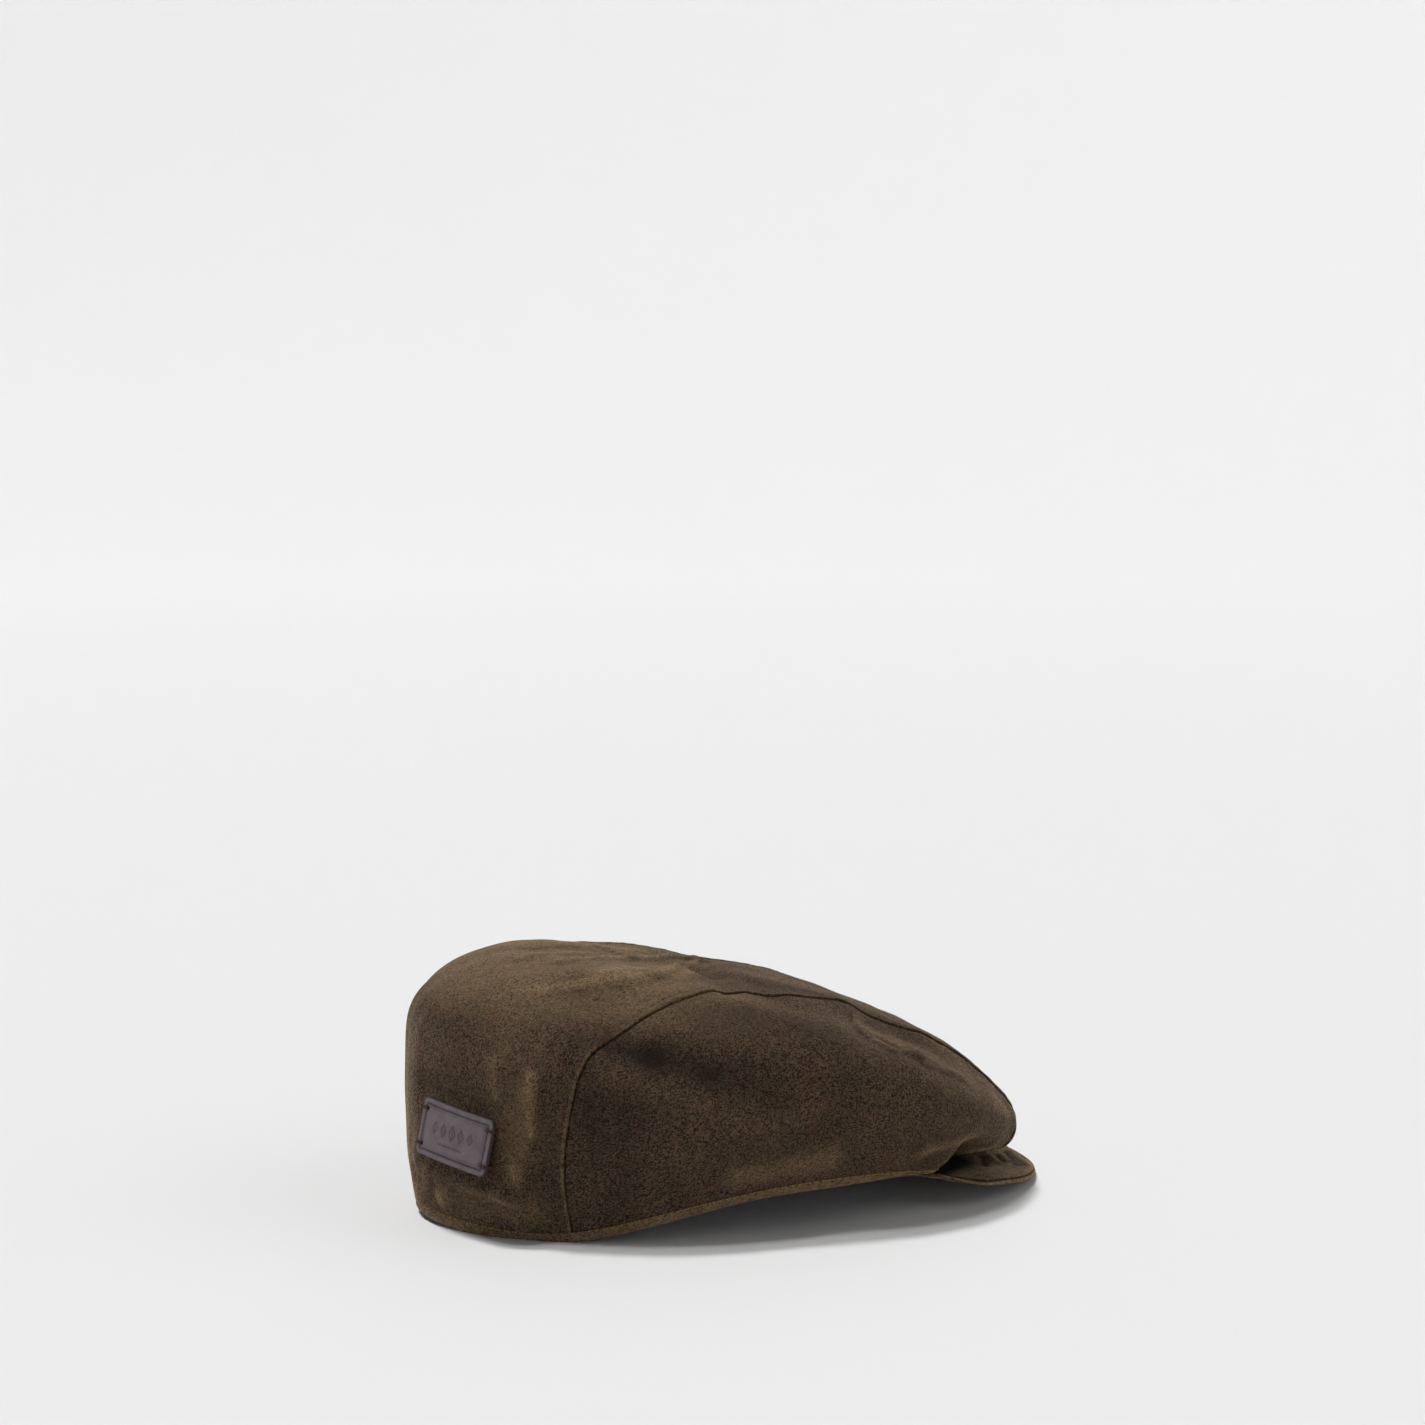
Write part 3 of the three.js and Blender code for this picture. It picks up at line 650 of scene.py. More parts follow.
@dataclass
class PanelChart:
    """The chart that the panels share, whose edge is the line where they meet the band."""

    crown: Crown
    seam: Sequence[SeamPlace] = SEAM
    reach: CubicCurve = field(init=False)
    seam_length: float = field(init=False)
    seam_x: CubicCurve = field(init=False)
    seam_y: CubicCurve = field(init=False)

    def __post_init__(self) -> None:
        """Lays the seam's places on the panels' chart, and runs a cubic curve through them."""
        headings = np.array([section.heading for section in self.crown.sections], float)
        hem_level = HEM_HEIGHT * self.crown.levels_per_mm(headings)
        self.reach = CubicCurve(headings, 1.0 - hem_level, 0.0, 0.0)
        places = np.array(self.seam, float)
        chart = chart_at(places[:, 0], places[:, 1]) / self.reach.at(places[:, 0])[:, None]
        chart /= np.maximum(np.linalg.norm(chart, axis=-1, keepdims=True), 1.0)
        knots = length_along(chart, 0)
        self.seam_length = knots[-1]
        self.seam_x = CubicCurve(knots, chart[:, 0])
        self.seam_y = CubicCurve(knots, chart[:, 1])

    def on_crown(self, chart: Array) -> Array:
        """The crown's own chart place of a place on the panels' chart."""
        return chart * self.reach.at(np.abs(heading_of(chart)))[..., None]

    def cloth(self, chart: Array) -> Cloth:
        """The crown's surface at a place on the panels' chart."""
        return self.crown.cloth(self.on_crown(chart))

    def seam_at(self, place: Array) -> Array:
        """The seam's chart place at a distance along it."""
        return np.stack([self.seam_x.at(place), self.seam_y.at(place)], -1)

    def seam_edge(self, share: Array, inset: Array) -> Array:
        """A line beside the left seam.

        The seam's place is moved square to it, by as much of the chart as covers the inset there.

        Args:
            share: How far along the seam, from 0 behind the ear to 1 over the peak.
            inset: Millimetres away from the centre panel.

        Returns:
            The chart places.
        """
        step = self.crown.chart_step
        place = share * self.seam_length
        start, end = self.seam_at(place - step), self.seam_at(place + step)
        along = end - start
        across = unit(np.stack([-along[..., 1], along[..., 0]], -1))
        chart = (start + end) / 2
        near = self.crown.skin(self.on_crown(chart))
        far = self.crown.skin(self.on_crown(chart + across * step))
        spread = np.linalg.norm(far - near, axis=-1)
        chart = chart + across * (inset * step / spread)[..., None]
        at_end = (share <= 0) | (share >= 1)
        return np.where(at_end[..., None], unit(chart), chart)


class Shape(NamedTuple):
    """A surface ready to be written: points, faces by their corner count, cloth map and values."""

    points: Array
    faces: list[Array]
    cloth_map: Array
    values: dict[str, Array]


def grid_quads(rows: int, columns: int, start: int = 0) -> Array:
    """The quads of a grid of points that are numbered row by row from start."""
    index = start + np.arange(rows * columns).reshape(rows, columns)
    corners = [index[:-1, :-1], index[1:, :-1], index[1:, 1:], index[:-1, 1:]]
    return np.stack(corners, axis=-1).reshape(-1, 4)


def sheet(
    outer: Array, inner: Array, cloth_map: Array, values: dict[str, Array]
) -> Shape:
    """A closed sheet between two grids of points, walled round its border.

    Args:
        outer: The grid of the outer face, rows by columns by 3.
        inner: The grid of the inner face, in the same shape.
        cloth_map: Where each place lies in the flat cloth, in millimetres.
        values: Named values of each place.

    Returns:
        The sheet.
    """
    rows, columns = outer.shape[:2]
    count = rows * columns
    index = np.arange(count).reshape(rows, columns)
    border = np.concatenate([index[0], index[1:, -1], index[-1, -2::-1], index[-2:0:-1, 0]])
    following = np.roll(border, -1)
    wall = np.stack([border, following, following + count, border + count], axis=-1)
    quads = np.concatenate([grid_quads(rows, columns), grid_quads(rows, columns, count)[:, ::-1], wall])
    return Shape(
        np.concatenate([outer.reshape(-1, 3), inner.reshape(-1, 3)]),
        [quads],
        np.tile(cloth_map.reshape(-1, 2), (2, 1)),
        {name: np.tile(value.ravel(), 2) for name, value in values.items()},
    )


def ring(loops: Array, cloth_map: Array, values: dict[str, Array]) -> Shape:
    """A closed ring of section loops. Its last row and column repeat the first, for the cloth map."""
    rows, columns = loops.shape[:2]
    flat_values = {name: value.ravel() for name, value in values.items()}
    return Shape(loops.reshape(-1, 3), [grid_quads(rows, columns)], cloth_map.reshape(-1, 2), flat_values)


def signed_volume(points: Array, faces: Sequence[Array]) -> float:
    """Six times the volume inside: the sum over fans of triangles of a . (b x c)."""
    fans = ((points[g[:, 0]], np.cross(points[g[:, 1:-1]], points[g[:, 2:]])) for g in faces)
    return sum(float(np.einsum("ik,ijk->", first, crossed)) for first, crossed in fans)


def write_piece(
    name: str, shape: Shape, material: bpy.types.Material, node: str = "", sharp: float = 55.0
) -> bpy.types.Object:
    """Writes a shape as a piece of the cap.

    Its faces are turned outward, places that meet are joined, and edges sharper than an angle stay
    sharp.

    Args:
        name: The piece's name.
        shape: Its surface, in millimetres from the crown's axis.
        material: Its finish.
        node: The CAD node that it stands for, which is hidden.
        sharp: The angle in degrees.

    Returns:
        The piece.
    """
    turn = 1 if signed_volume(shape.points, shape.faces) > 0 else -1
    faces = [group[:, ::turn] for group in shape.faces]
    corners = np.concatenate([group.ravel() for group in faces]).astype(np.int32)
    totals = np.concatenate([np.full(len(group), group.shape[1]) for group in faces])
    mesh = bpy.data.meshes.new(name)
    mesh.vertices.add(len(shape.points))
    mesh.vertices.foreach_set("co", ((shape.points + CROWN_MIDDLE) * MM).astype(np.float32).ravel())
    mesh.loops.add(len(corners))
    mesh.loops.foreach_set("vertex_index", corners)
    mesh.polygons.add(len(totals))
    mesh.polygons.foreach_set("loop_start", (np.cumsum(totals) - totals).astype(np.int32))
    mesh.update(calc_edges=True)
    layer = mesh.uv_layers.new(name=CLOTH_MAP)
    layer.data.foreach_set("uv", shape.cloth_map[corners].astype(np.float32).ravel())
    for key, value in shape.values.items():
        mesh.attributes.new(key, "FLOAT", "POINT").data.foreach_set("value", value.astype(np.float32))
    work = bmesh.new()
    work.from_mesh(mesh)
    bmesh.ops.remove_doubles(work, verts=work.verts, dist=0.002 * MM)
    work.to_mesh(mesh)
    work.free()
    mesh.validate()
    mesh.shade_smooth()
    mesh.set_sharp_from_angle(angle=math.radians(sharp))
    mesh.materials.append(material)
    piece = bpy.data.objects.new(name, mesh)
    bpy.context.scene.collection.objects.link(piece)
    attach(piece, BODY)
    if node:
        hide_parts(node)
    log.info("%s: %d faces", name, len(mesh.polygons))
    return piece


def crowded_shares(near: Sequence[float], spacing: float, both_ends: bool) -> Array:
    """Shares from 0 to 1 that crowd at the end 1, and at the end 0 as well if asked.

    Args:
        near: Distances from the crowded end, as shares, rising from 0.
        spacing: About the even spacing of the rest.
        both_ends: Whether to crowd both ends.

    Returns:
        The rising shares.
    """
    start = list(near) if both_ends else [0.0]
    stop = [1.0 - share for share in reversed(near)]
    count = max(2, round((stop[0] - start[-1]) / spacing))
    middle = np.linspace(start[-1], stop[0], count + 1)
    return np.concatenate([start[:-1], middle, stop[1:]])


SEAM_CROWD = (0.0, 0.0015, 0.003, 0.005, 0.0075, 0.01, 0.013, 0.017, 0.022, 0.028, 0.034, 0.041, 0.05)


def edge_roll(distance: Array, radius: float) -> Array:
    """How far a turned edge has dropped: a quarter circle over the radius next to the edge."""
    inward = np.clip(radius - distance, 0.0, radius)
    return radius - np.sqrt(np.maximum(radius**2 - inward**2, 0.0))


def pucker(place: Array, distance: Array, reach: float) -> Array:
    """Slight gathers that a row of stitches leaves: an uneven cosine along it, fading away from it."""
    turns = 2 * np.pi * place / PUCKER_PITCH + PUCKER_WANDER * np.sin(2 * np.pi * place / PUCKER_DRIFT)
    return np.cos(turns) * bell(distance, reach)


@dataclass
class CentrePanel:
    """The long panel that runs up the back, over the top and down the front to the peak.

    Its edges are turned under and lap over the side panels as a narrow welt.
    """

    panels: PanelChart
    rows: int = 330
    lap: float = 0.2
    roll_radius: float = 0.8
    welt_fade: tuple[float, float] = (3.0, 4.4)
    stitch_dent: float = 0.14
    pucker_rise: float = 0.1
    pucker_reach: float = 4.0
    edge_width: float = 0.7
    edge_rub: float = 0.5
    # Painted shade along the welt's rolled edge
    edge_shade: float = 0.5
    edge_shade_width: float = 0.35
    columns: Array = field(default_factory=lambda: crowded_shares(SEAM_CROWD, 0.0125, True))

    def chart(self) -> Array:
        """The panel's chart places: a strip between the two seams, bent at its ends to the rim.

        Between the seams a row runs straight across. A row's share of the difference between the
        strip's end and the rim is added, so that the end rows lie on the rim.

        Returns:
            The places, rows by columns by 2.
        """
        u = np.linspace(0, 1, self.rows + 1)[:, None]
        v = self.columns[None, :]
        edge = self.panels.seam_edge(u[:, 0], np.full(self.rows + 1, self.lap))

        def between(row: Array) -> Array:
            """The straight row that starts at a place on the left seam."""
            return np.stack(np.broadcast_arrays(row[..., 0:1], row[..., 1:2] * (1 - 2 * v)), -1)

        back, front = heading_of(edge[0]), heading_of(edge[-1])
        back_rim = chart_at(lerp(back, 360 - back, v), 0 * v)
        front_rim = chart_at(lerp(front, -front, v), 0 * v)
        bend_back = (back_rim - between(edge[:1])) * (1 - u)[..., None]
        bend_front = (front_rim - between(edge[-1:])) * u[..., None]
        return between(edge) + bend_back + bend_front

    def shape(self) -> Shape:
        """The panel as a closed sheet, with its welts raised and their edges rolled under."""
        cloth = self.panels.cloth(self.chart())
        across = length_along(cloth.skin, 1)
        distance = np.minimum(across, across[:, -1:] - across)
        middle = len(self.columns) // 2
        along = np.broadcast_to(length_along(cloth.skin[:, middle : middle + 1], 0), across.shape)
        lift = WELT_RISE * (1 - smoothstep(distance, *self.welt_fade)) - edge_roll(distance, self.roll_radius)
        lift -= self.stitch_dent * bell(distance - WELT_WIDTH, self.edge_width)
        lift += self.pucker_rise * pucker(along, distance - WELT_WIDTH, self.pucker_reach)
        edge_rub = self.edge_rub * bell(distance - self.edge_width, self.edge_width)
        cloth_map = np.stack([along, across - across[:, -1:] / 2], -1)
        # Painted shade along the welt's rolled edge, on top of the folds' painted shade
        painted_shade = np.maximum(cloth.creased, self.edge_shade * bell(distance, self.edge_shade_width))
        values = {RUB_AND_HIGHLIGHT: np.maximum(cloth.rubbed, edge_rub), CREASE_SHADE: painted_shade}
        inner = np.full_like(lift, -CLOTH_THICKNESS)
        return sheet(cloth.lifted(lift), cloth.lifted(inner), cloth_map, values)


@dataclass
class SidePanel:
    """A panel over an ear. Its upper edge dips and runs on under the centre panel."""

    panels: PanelChart
    side: Side
    rows: int = 330
    dip: float = 1.4
    dip_reach: tuple[float, float] = (-0.3, 1.2)
    pucker_rise: float = 0.1
    pucker_reach: float = 5.0
    # Painted shade in the dip along the seam, and how far it reaches
    seam_shade: float = 0.7
    seam_shade_reach: tuple[float, float] = (0.2, 1.3)
    columns: Array = field(default_factory=lambda: crowded_shares(SEAM_CROWD, 0.0165, False))
    under_columns: tuple[float, ...] = (0.3, 0.8, 1.5, 2.5, SEAM_ALLOWANCE)

    def shape(self) -> Shape:
        """The panel as a closed sheet.

        A row runs straight on the chart from the rim to the seam. Past the seam come lines at set
        distances under the centre panel.

        Returns:
            The sheet.
        """
        u = np.linspace(0, 1, self.rows + 1)
        edge = self.panels.seam_edge(u, 0 * u)
        start, stop = heading_of(edge[0]), heading_of(edge[-1])
        rim = chart_at(lerp(start, stop, u), 0 * u)
        chart = lerp(rim[:, None], edge[:, None], self.columns[None, :, None])
        under = [self.panels.seam_edge(u, 0 * u - inset)[:, None] for inset in self.under_columns]
        chart = np.concatenate([chart, *under], axis=1) * np.array([1, self.side.value])
        cloth = self.panels.cloth(chart)
        up = length_along(cloth.skin, 1)
        at_seam = len(self.columns) - 1
        distance = up[:, at_seam : at_seam + 1] - up
        along = np.broadcast_to(length_along(cloth.skin[:, at_seam : at_seam + 1], 0), up.shape)
        drop = SIDE_DROP + self.dip * (1 - smoothstep(distance, *self.dip_reach))
        lift = self.pucker_rise * pucker(along, distance, self.pucker_reach) - drop
        cloth_map = np.stack([cloth.skin[..., 0], up * self.side.value], -1)
        # Painted shade in the dip along the seam
        seam_shade = self.seam_shade * (1 - smoothstep(distance, *self.seam_shade_reach))
        shaded = np.maximum(cloth.creased, seam_shade)
        values = {RUB_AND_HIGHLIGHT: cloth.rubbed * (1 - shaded), CREASE_SHADE: shaded}
        return sheet(cloth.lifted(lift), cloth.lifted(-CLOTH_THICKNESS - drop), cloth_map, values)


@dataclass
class RimBand:
    """The hem round the opening: a folded strip whose upper edge is stitched flush to the panels."""

    panels: PanelChart
    sections: int = 720
    stitch_height: float = 4.75
    stitch_lift: float = -0.12
    rope_pitch: float = 6.5
    rope_rise: float = 0.16
    rope_slant: float = 0.8
    # Wear on the band's face, raised as painted light, more on the ripples' crests
    wear_and_painted_light: float = 0.4
    ripple_rub: float = 0.2
    # Painted shade along the band's upper edge
    edge_shade: float = 0.75
    profile: tuple[tuple[float, float], ...] = (
        (0.0, -1.2), (0.08, -0.75), (0.3, -0.35), (0.7, -0.1), (1.3, 0.06), (2.0, 0.12), (2.8, 0.12),
        (3.4, 0.04), (3.9, -0.08), (4.3, -0.22), (4.6, -0.42), (4.8, -0.68), (4.9, -1.0), (4.95, -1.4),
        (4.95, -2.0), (4.6, -2.4), (3.6, -2.5), (2.0, -2.5), (1.0, -2.35), (0.45, -2.1), (0.1, -1.7),
        (0.0, -1.2),
    )

    def cloth(self, heading: Array, height: Array) -> Cloth:
        """The crown's surface at a height: that share of the way to the panels' edge."""
        level = (1.0 - self.panels.reach.at(np.abs(heading))) * height / HEM_HEIGHT
        return self.panels.crown.cloth(chart_at(heading, level))

    def shape(self) -> Shape:
        """The band as a closed ring, with the slanting ripples that a turned hem gets.

        A ripple is a cosine of the distance round the rim less 0.8 of the height, strongest halfway
        up the band, and its length wanders.

        Returns:
            The ring.
        """
        heading = np.linspace(-180, 180, self.sections + 1)[:, None]
        profile = np.array(self.profile)
        height, lift = profile[None, :, 0], profile[None, :, 1]
        heading, height, lift = np.broadcast_arrays(heading, height, lift)
        flat = 0 * heading[:, :1]
        rim = self.cloth(heading[:, :1], flat).lifted(flat)
        around = length_along(rim, 0)
        pitch = around[-1, 0] / round(around[-1, 0] / self.rope_pitch)
        turns = 2 * np.pi * (around - self.rope_slant * height) / pitch
        once = 2 * np.pi * around / around[-1, 0]
        wander = 1.4 * np.sin(17 * once) + np.sin(7 * once)
        outer = smoothstep(lift, -1.3, -0.3)
        fullness = outer * np.sin(np.pi * np.clip(height / HEM_HEIGHT, 0, 1))
        ripple = self.rope_rise * np.cos(turns + wander) * fullness
        points = self.cloth(heading, height).lifted(lift + ripple)
        across = length_along(points, 1)
        cloth_map = np.stack([np.broadcast_to(around, across.shape), across], -1)
        high = np.clip(ripple / self.rope_rise, 0, 1) + bell(height - 0.5, 0.8)
        # Wear on the band, raised as painted light, more on the ripples' crests
        wear_and_painted_light = outer * (self.wear_and_painted_light + self.ripple_rub * high)
        # Painted shade along the band's upper edge, where it meets the panels
        crease = self.edge_shade * bell(height - profile[:, 0].max(), 0.3)
        return ring(points, cloth_map, {RUB_AND_HIGHLIGHT: wear_and_painted_light * (1 - crease), CREASE_SHADE: crease})

    def stitch_path(self) -> tuple[Array, Array]:
        """The line of the stitches and its outward directions."""
        heading = np.linspace(-180, 180, 1441)
        cloth = self.cloth(heading, np.full(len(heading), self.stitch_height))
        return cloth.lifted(np.full(len(heading), self.stitch_lift)), cloth.normal


class StitchForm(NamedTuple):
    """One stitch: its length, the thread's radius, how high its middle stands, and its slant.

    The slant is how far it turns out of the seam's line, as a share of its length.
    """

    length: float
    radius: float
    rise: float
    slant: float


def threads(
    line: Array, side: Array, out: Array, radius: Array, travelled: Array, sides: int
) -> Shape:
    """Round threads, closed at their ends, as one shape.

    Args:
        line: Their middle lines, threads by stations by 3.
        side: A direction square to the line at each station, across the cloth.
        out: The other, off the cloth.
        radius: The radius at each station.
        travelled: The distance along the seam at each station.
        sides: How many sides a section has.

    Returns:
        The threads.
    """
    angle = np.arange(sides + 1) * 2 * np.pi / sides
    spoke = side[:, :, None] * np.cos(angle)[:, None] + out[:, :, None] * np.sin(angle)[:, None]
    points = line[:, :, None] + spoke * radius[:, :, None, None]
    index = np.arange(points.size // 3).reshape(points.shape[:3])
    corners = [index[:, :-1, :-1], index[:, :-1, 1:], index[:, 1:, 1:], index[:, 1:, :-1]]
    caps = np.concatenate([index[:, 0, -2::-1], index[:, -1, :-1]])
    flat = np.stack(np.broadcast_arrays(travelled[:, :, None], radius.max() * angle), -1)
    return Shape(points.reshape(-1, 3), [np.stack(corners, -1).reshape(-1, 4), caps], flat.reshape(-1, 2), {})


def stitches(path: Array, normal: Array, form: StitchForm) -> Shape:
    """A row of stitches along a line.

    Each is a thread of 6 sides on 7 stations. Its middle line arches over the cloth as rise times
    1 - s^2, for s from -1 to 1 along it, sinks at its ends, and its radius narrows toward them.

    Args:
        path: Points close together along the seam.
        normal: The outward direction at each.
        form: The size of a stitch.

    Returns:
        The row, as one shape.
    """
    travelled = length_along(path, 0)
    count = int(travelled[-1] // STITCH_PITCH)
    middle = (np.arange(count) + 0.5) * travelled[-1] / count

    def sample(values: Array, place: Array) -> Array:
        """Reads values given along the path at a distance along it."""
        return np.stack([np.interp(place, travelled, values[:, k]) for k in range(3)], -1)

    s = np.linspace(-1, 1, 7)
    place = middle[:, None] + s[None, :] * form.length / 2
    line = sample(path, place)
    out = unit(sample(normal, place))
    along = unit(sample(path, place + 0.2) - sample(path, place - 0.2))
    side = np.cross(out, along)
    line = line + side * (form.slant * form.length / 2 * s[None, :, None])
    line = line + out * (form.rise * (1 - s**2) - 0.9 * form.radius * s**4)[None, :, None]
    radius = form.radius * np.sqrt(1 - 0.8 * s**6)
    return threads(line, side, out, np.broadcast_to(radius, place.shape), place, 6)


def joined(shapes: Sequence[Shape]) -> Shape:
    """Several shapes as one, their faces renumbered."""
    starts = np.cumsum([0] + [len(shape.points) for shape in shapes[:-1]])
    groups = [group + start for shape, start in zip(shapes, starts) for group in shape.faces]
    sizes = sorted({group.shape[1] for group in groups})
    faces = [np.concatenate([group for group in groups if group.shape[1] == size]) for size in sizes]
    names = set.intersection(*(set(shape.values) for shape in shapes))
    return Shape(
        np.concatenate([shape.points for shape in shapes]),
        faces,
        np.concatenate([shape.cloth_map for shape in shapes]),
        {name: np.concatenate([shape.values[name] for shape in shapes]) for name in names},
    )


@dataclass
class Peak:
    """The short stiff peak: two cloth covers that meet in a stitched seam round its edge.

    The seam's height is a share of the peak's thickness. Folds die away within fold_edge of the edge,
    and the rubbed strip beside the seam is told by how far in it lies and how wide it is.
    """

    crown: Crown
    sections: Sequence[PeakSection] = PEAK_SECTIONS
    half_angle: float = 37.5
    seat_overlap: float = 1.0
    rows: int = 260
    share_step: float = 0.035
    seam_height: float = 0.6
    seam_gap: float = 0.06
    # Painted shade along the edge seam
    seam_shade_width: float = 0.25
    top_roll: float = 3.4
    fold_edge: float = 2.5
    fold_crest: float = 0.6
    edge_rub: float = 0.5
    edge_rub_place: tuple[float, float] = (1.4, 1.1)
    lip_out: float = 0.4
    lip_columns: int = 12
    lip_turn: tuple[float, float] = (-75.0, 90.0)
    lip_rub_turn: tuple[float, float] = (10.0, 40.0)
    # Painted shade where the lip turns into the seam
    lip_shade_turn: tuple[float, float] = (55.0, 80.0)
    floor_gap: float = 0.02
    folds: Sequence[Fold] = (
        # Tones above 0 are rubbed wax with painted highlight, below 0 painted shade in creases and the recess
        Fold("fold from under the front", -8, 0.5, -17, 0.7, 1.9, 1.1, 1),
        Fold("crease behind it", -12.5, 0.47, -20, 0.62, 1.5, -0.8, -0.8),
        Fold("crease before it", -10, 0.63, -15.5, 0.72, 1.2, -0.7, -0.8),
        Fold("second fold", -3, 0.66, -13, 0.73, 1.9, 0.9, 1),
        Fold("fold along the edge", -5, 0.84, -14, 0.93, 2.0, 0.6, 0.6),
        Fold("hollow inside it", -6, 0.78, -16, 0.84, 1.6, -0.6, -0.6),
        # Painted highlight on the tip, with some wear
        Fold("painted highlight on the worn tip", 6, 0.9, -24, 0.9, 16.0, 0, 1),
        Fold("worn corner", -22, 0.72, -31, 0.8, 3.0, 0.4, 0.35),
        # Painted shade in the recess under the crown's front
        Fold("recess under the front", -37, 0.35, -18, 0.32, 10.0, -0.8, -1.5),
        Fold("left wrinkle", 35, 0.7, 25, 0.6, 2.0, 0.4, 0.4),
        Fold("left fold", 8, 0.6, 16, 0.75, 2.0, 0.6, 0.5),
        Fold("front wave", 2, 0.9, 12, 0.75, 4.0, 0.4, 0.2),
    )
    edge_crowd: tuple[float, ...] = (
        0, 0.0008, 0.002, 0.0045, 0.008, 0.0125, 0.018, 0.025,
        0.034, 0.045, 0.058, 0.073, 0.09, 0.11, 0.13, 0.15,
    )

    def __post_init__(self) -> None:
        """Makes the curves along the headings."""
        rows = np.array(self.sections, float)
        names = enumerate(PeakSection._fields)
        self.curves = {name: CubicCurve(rows[:, 0], rows[:, k], 0.0) for k, name in names}

    def place(
        self, heading: Array, share: Array, height: Array, rise: Array
    ) -> Array:
        """A point of the peak.

        Args:
            heading: The heading, up to the half angle either way.
            share: From 0 at the seat under the rim to 1 at the outer edge.
            height: From 0 at the underside to 1 at the top.
            rise: Millimetres added to the height.

        Returns:
            The points.
        """
        turn = np.abs(heading)
        angle = np.radians(heading)
        seat_out = self.crown.out_curves[0].at(turn) - self.seat_overlap
        seat_out += self.crown.tuck.moved(turn, 0 * turn)[0]
        out = lerp(seat_out, self.curves["edge_out"].at(turn), share)
        low = lerp(self.curves["seat_up"].at(turn), self.curves["edge_up"].at(turn), share)
        up = low + self.curves["thick"].at(turn) * height + rise
        return np.stack([out * np.cos(angle), out * np.sin(angle), np.maximum(up, self.floor_gap)], -1)

    def grid(self) -> tuple[Array, Array, Array]:
        """Headings, which crowd at the corners, shares, which crowd at the edge, and edge distances."""
        heading = self.half_angle * np.sin(np.pi * (np.linspace(0, 1, self.rows + 1) - 0.5))
        share = crowded_shares(self.edge_crowd, self.share_step, False)
        heading, share = np.meshgrid(heading, share, indexing="ij")
        flat = self.place(heading, share, 0 * share, 0 * share)
        out = length_along(flat, 1)
        return heading, share, out[:, -1:] - out

    def cloth_map(self, heading: Array, outer: Array) -> Array:
        """A cover's cloth laid flat: along the edge's arc, and in from the edge along its surface."""
        travelled = length_along(outer, 1)
        arc = np.radians(heading) * self.curves["edge_out"].at(np.abs(heading))
        return np.stack([arc, travelled - travelled[:, -1:]], -1)

    def top_cover(self) -> Shape:
        """The top cover as a closed sheet, wrinkled, its face rounded down to the edge seam.

        Within the roll's width of the edge the face falls as a quarter ellipse, from the peak's top
        to the seam's height.

        Returns:
            The cover.
        """
        heading, share, distance = self.grid()
        skin = self.place(heading, share, 0 * share + 1, 0 * share)
        ends = np.array([[fold[1:3], fold[3:5]] for fold in self.folds], float)
        ends = self.place(ends[..., 0], ends[..., 1], np.ones(1), np.zeros(1))
        rise, rubbed, creased = fold_marks(skin, self.folds, ends, self.fold_crest)
        inward = np.clip(1 - distance / self.top_roll, 0, 1)
        height = lerp(self.seam_height, 1.0, np.sqrt(1 - inward**2))
        outer = self.place(heading, share, height, rise * smoothstep(distance, 0.0, self.fold_edge))
        inner = self.place(heading, share, 0 * share + self.seam_height - self.seam_gap, 0 * share)
        # Painted shade along the edge seam
        creased = np.clip(np.maximum(creased, bell(distance, self.seam_shade_width)), 0, 1)
        rub_in, rub_width = self.edge_rub_place
        rubbed = np.clip(rubbed + self.edge_rub * bell(distance - rub_in, rub_width), 0, 1)
        values = {RUB_AND_HIGHLIGHT: rubbed * (1 - creased), CREASE_SHADE: creased}
        return sheet(outer, inner, self.cloth_map(heading, outer), values)

    def under_cover(self) -> Shape:
        """The lower cover as a closed sheet. Past its edge it turns up as a half round lip."""
        heading, share, distance = self.grid()
        turn = np.radians(np.linspace(*self.lip_turn, self.lip_columns))[None, :]
        thick = self.curves["thick"].at(np.abs(heading[:, :1]))
        radius = thick * self.seam_height / 2
        lip_share = 1 + (self.lip_out - radius * (1 - np.cos(turn))) / distance[:, :1]
        lip_height = self.seam_height / 2 * (1 + np.sin(turn)) + 0 * lip_share
        share = np.minimum(share, lip_share[:, :1] - 0.002 * (1 - share))
        all_share = np.concatenate([share, lip_share], axis=1)
        height = np.concatenate([0 * share, lip_height], axis=1)
        heading = np.broadcast_to(heading[:, :1], all_share.shape)
        outer = self.place(heading, all_share, height, 0 * height)
        inner_share = np.minimum(all_share, 1 - 1.2 / distance[:, :1])
        apart = 0.01 * np.arange(height.shape[1])
        inner = self.place(heading, inner_share, 0 * height + 0.5 * self.seam_height, apart)
        # Painted shade where the lip turns up into the seam
        in_seam = np.broadcast_to(smoothstep(np.degrees(turn), *self.lip_shade_turn), lip_height.shape)
        rub_middle, rub_spread = self.lip_rub_turn
        worn = np.broadcast_to(bell(np.degrees(turn) - rub_middle, rub_spread), lip_height.shape)
        creased = np.concatenate([0 * share, in_seam], axis=1)
        rubbed = np.concatenate([0 * share, worn], axis=1)
        return sheet(outer, inner, self.cloth_map(heading, outer), {RUB_AND_HIGHLIGHT: rubbed, CREASE_SHADE: creased})


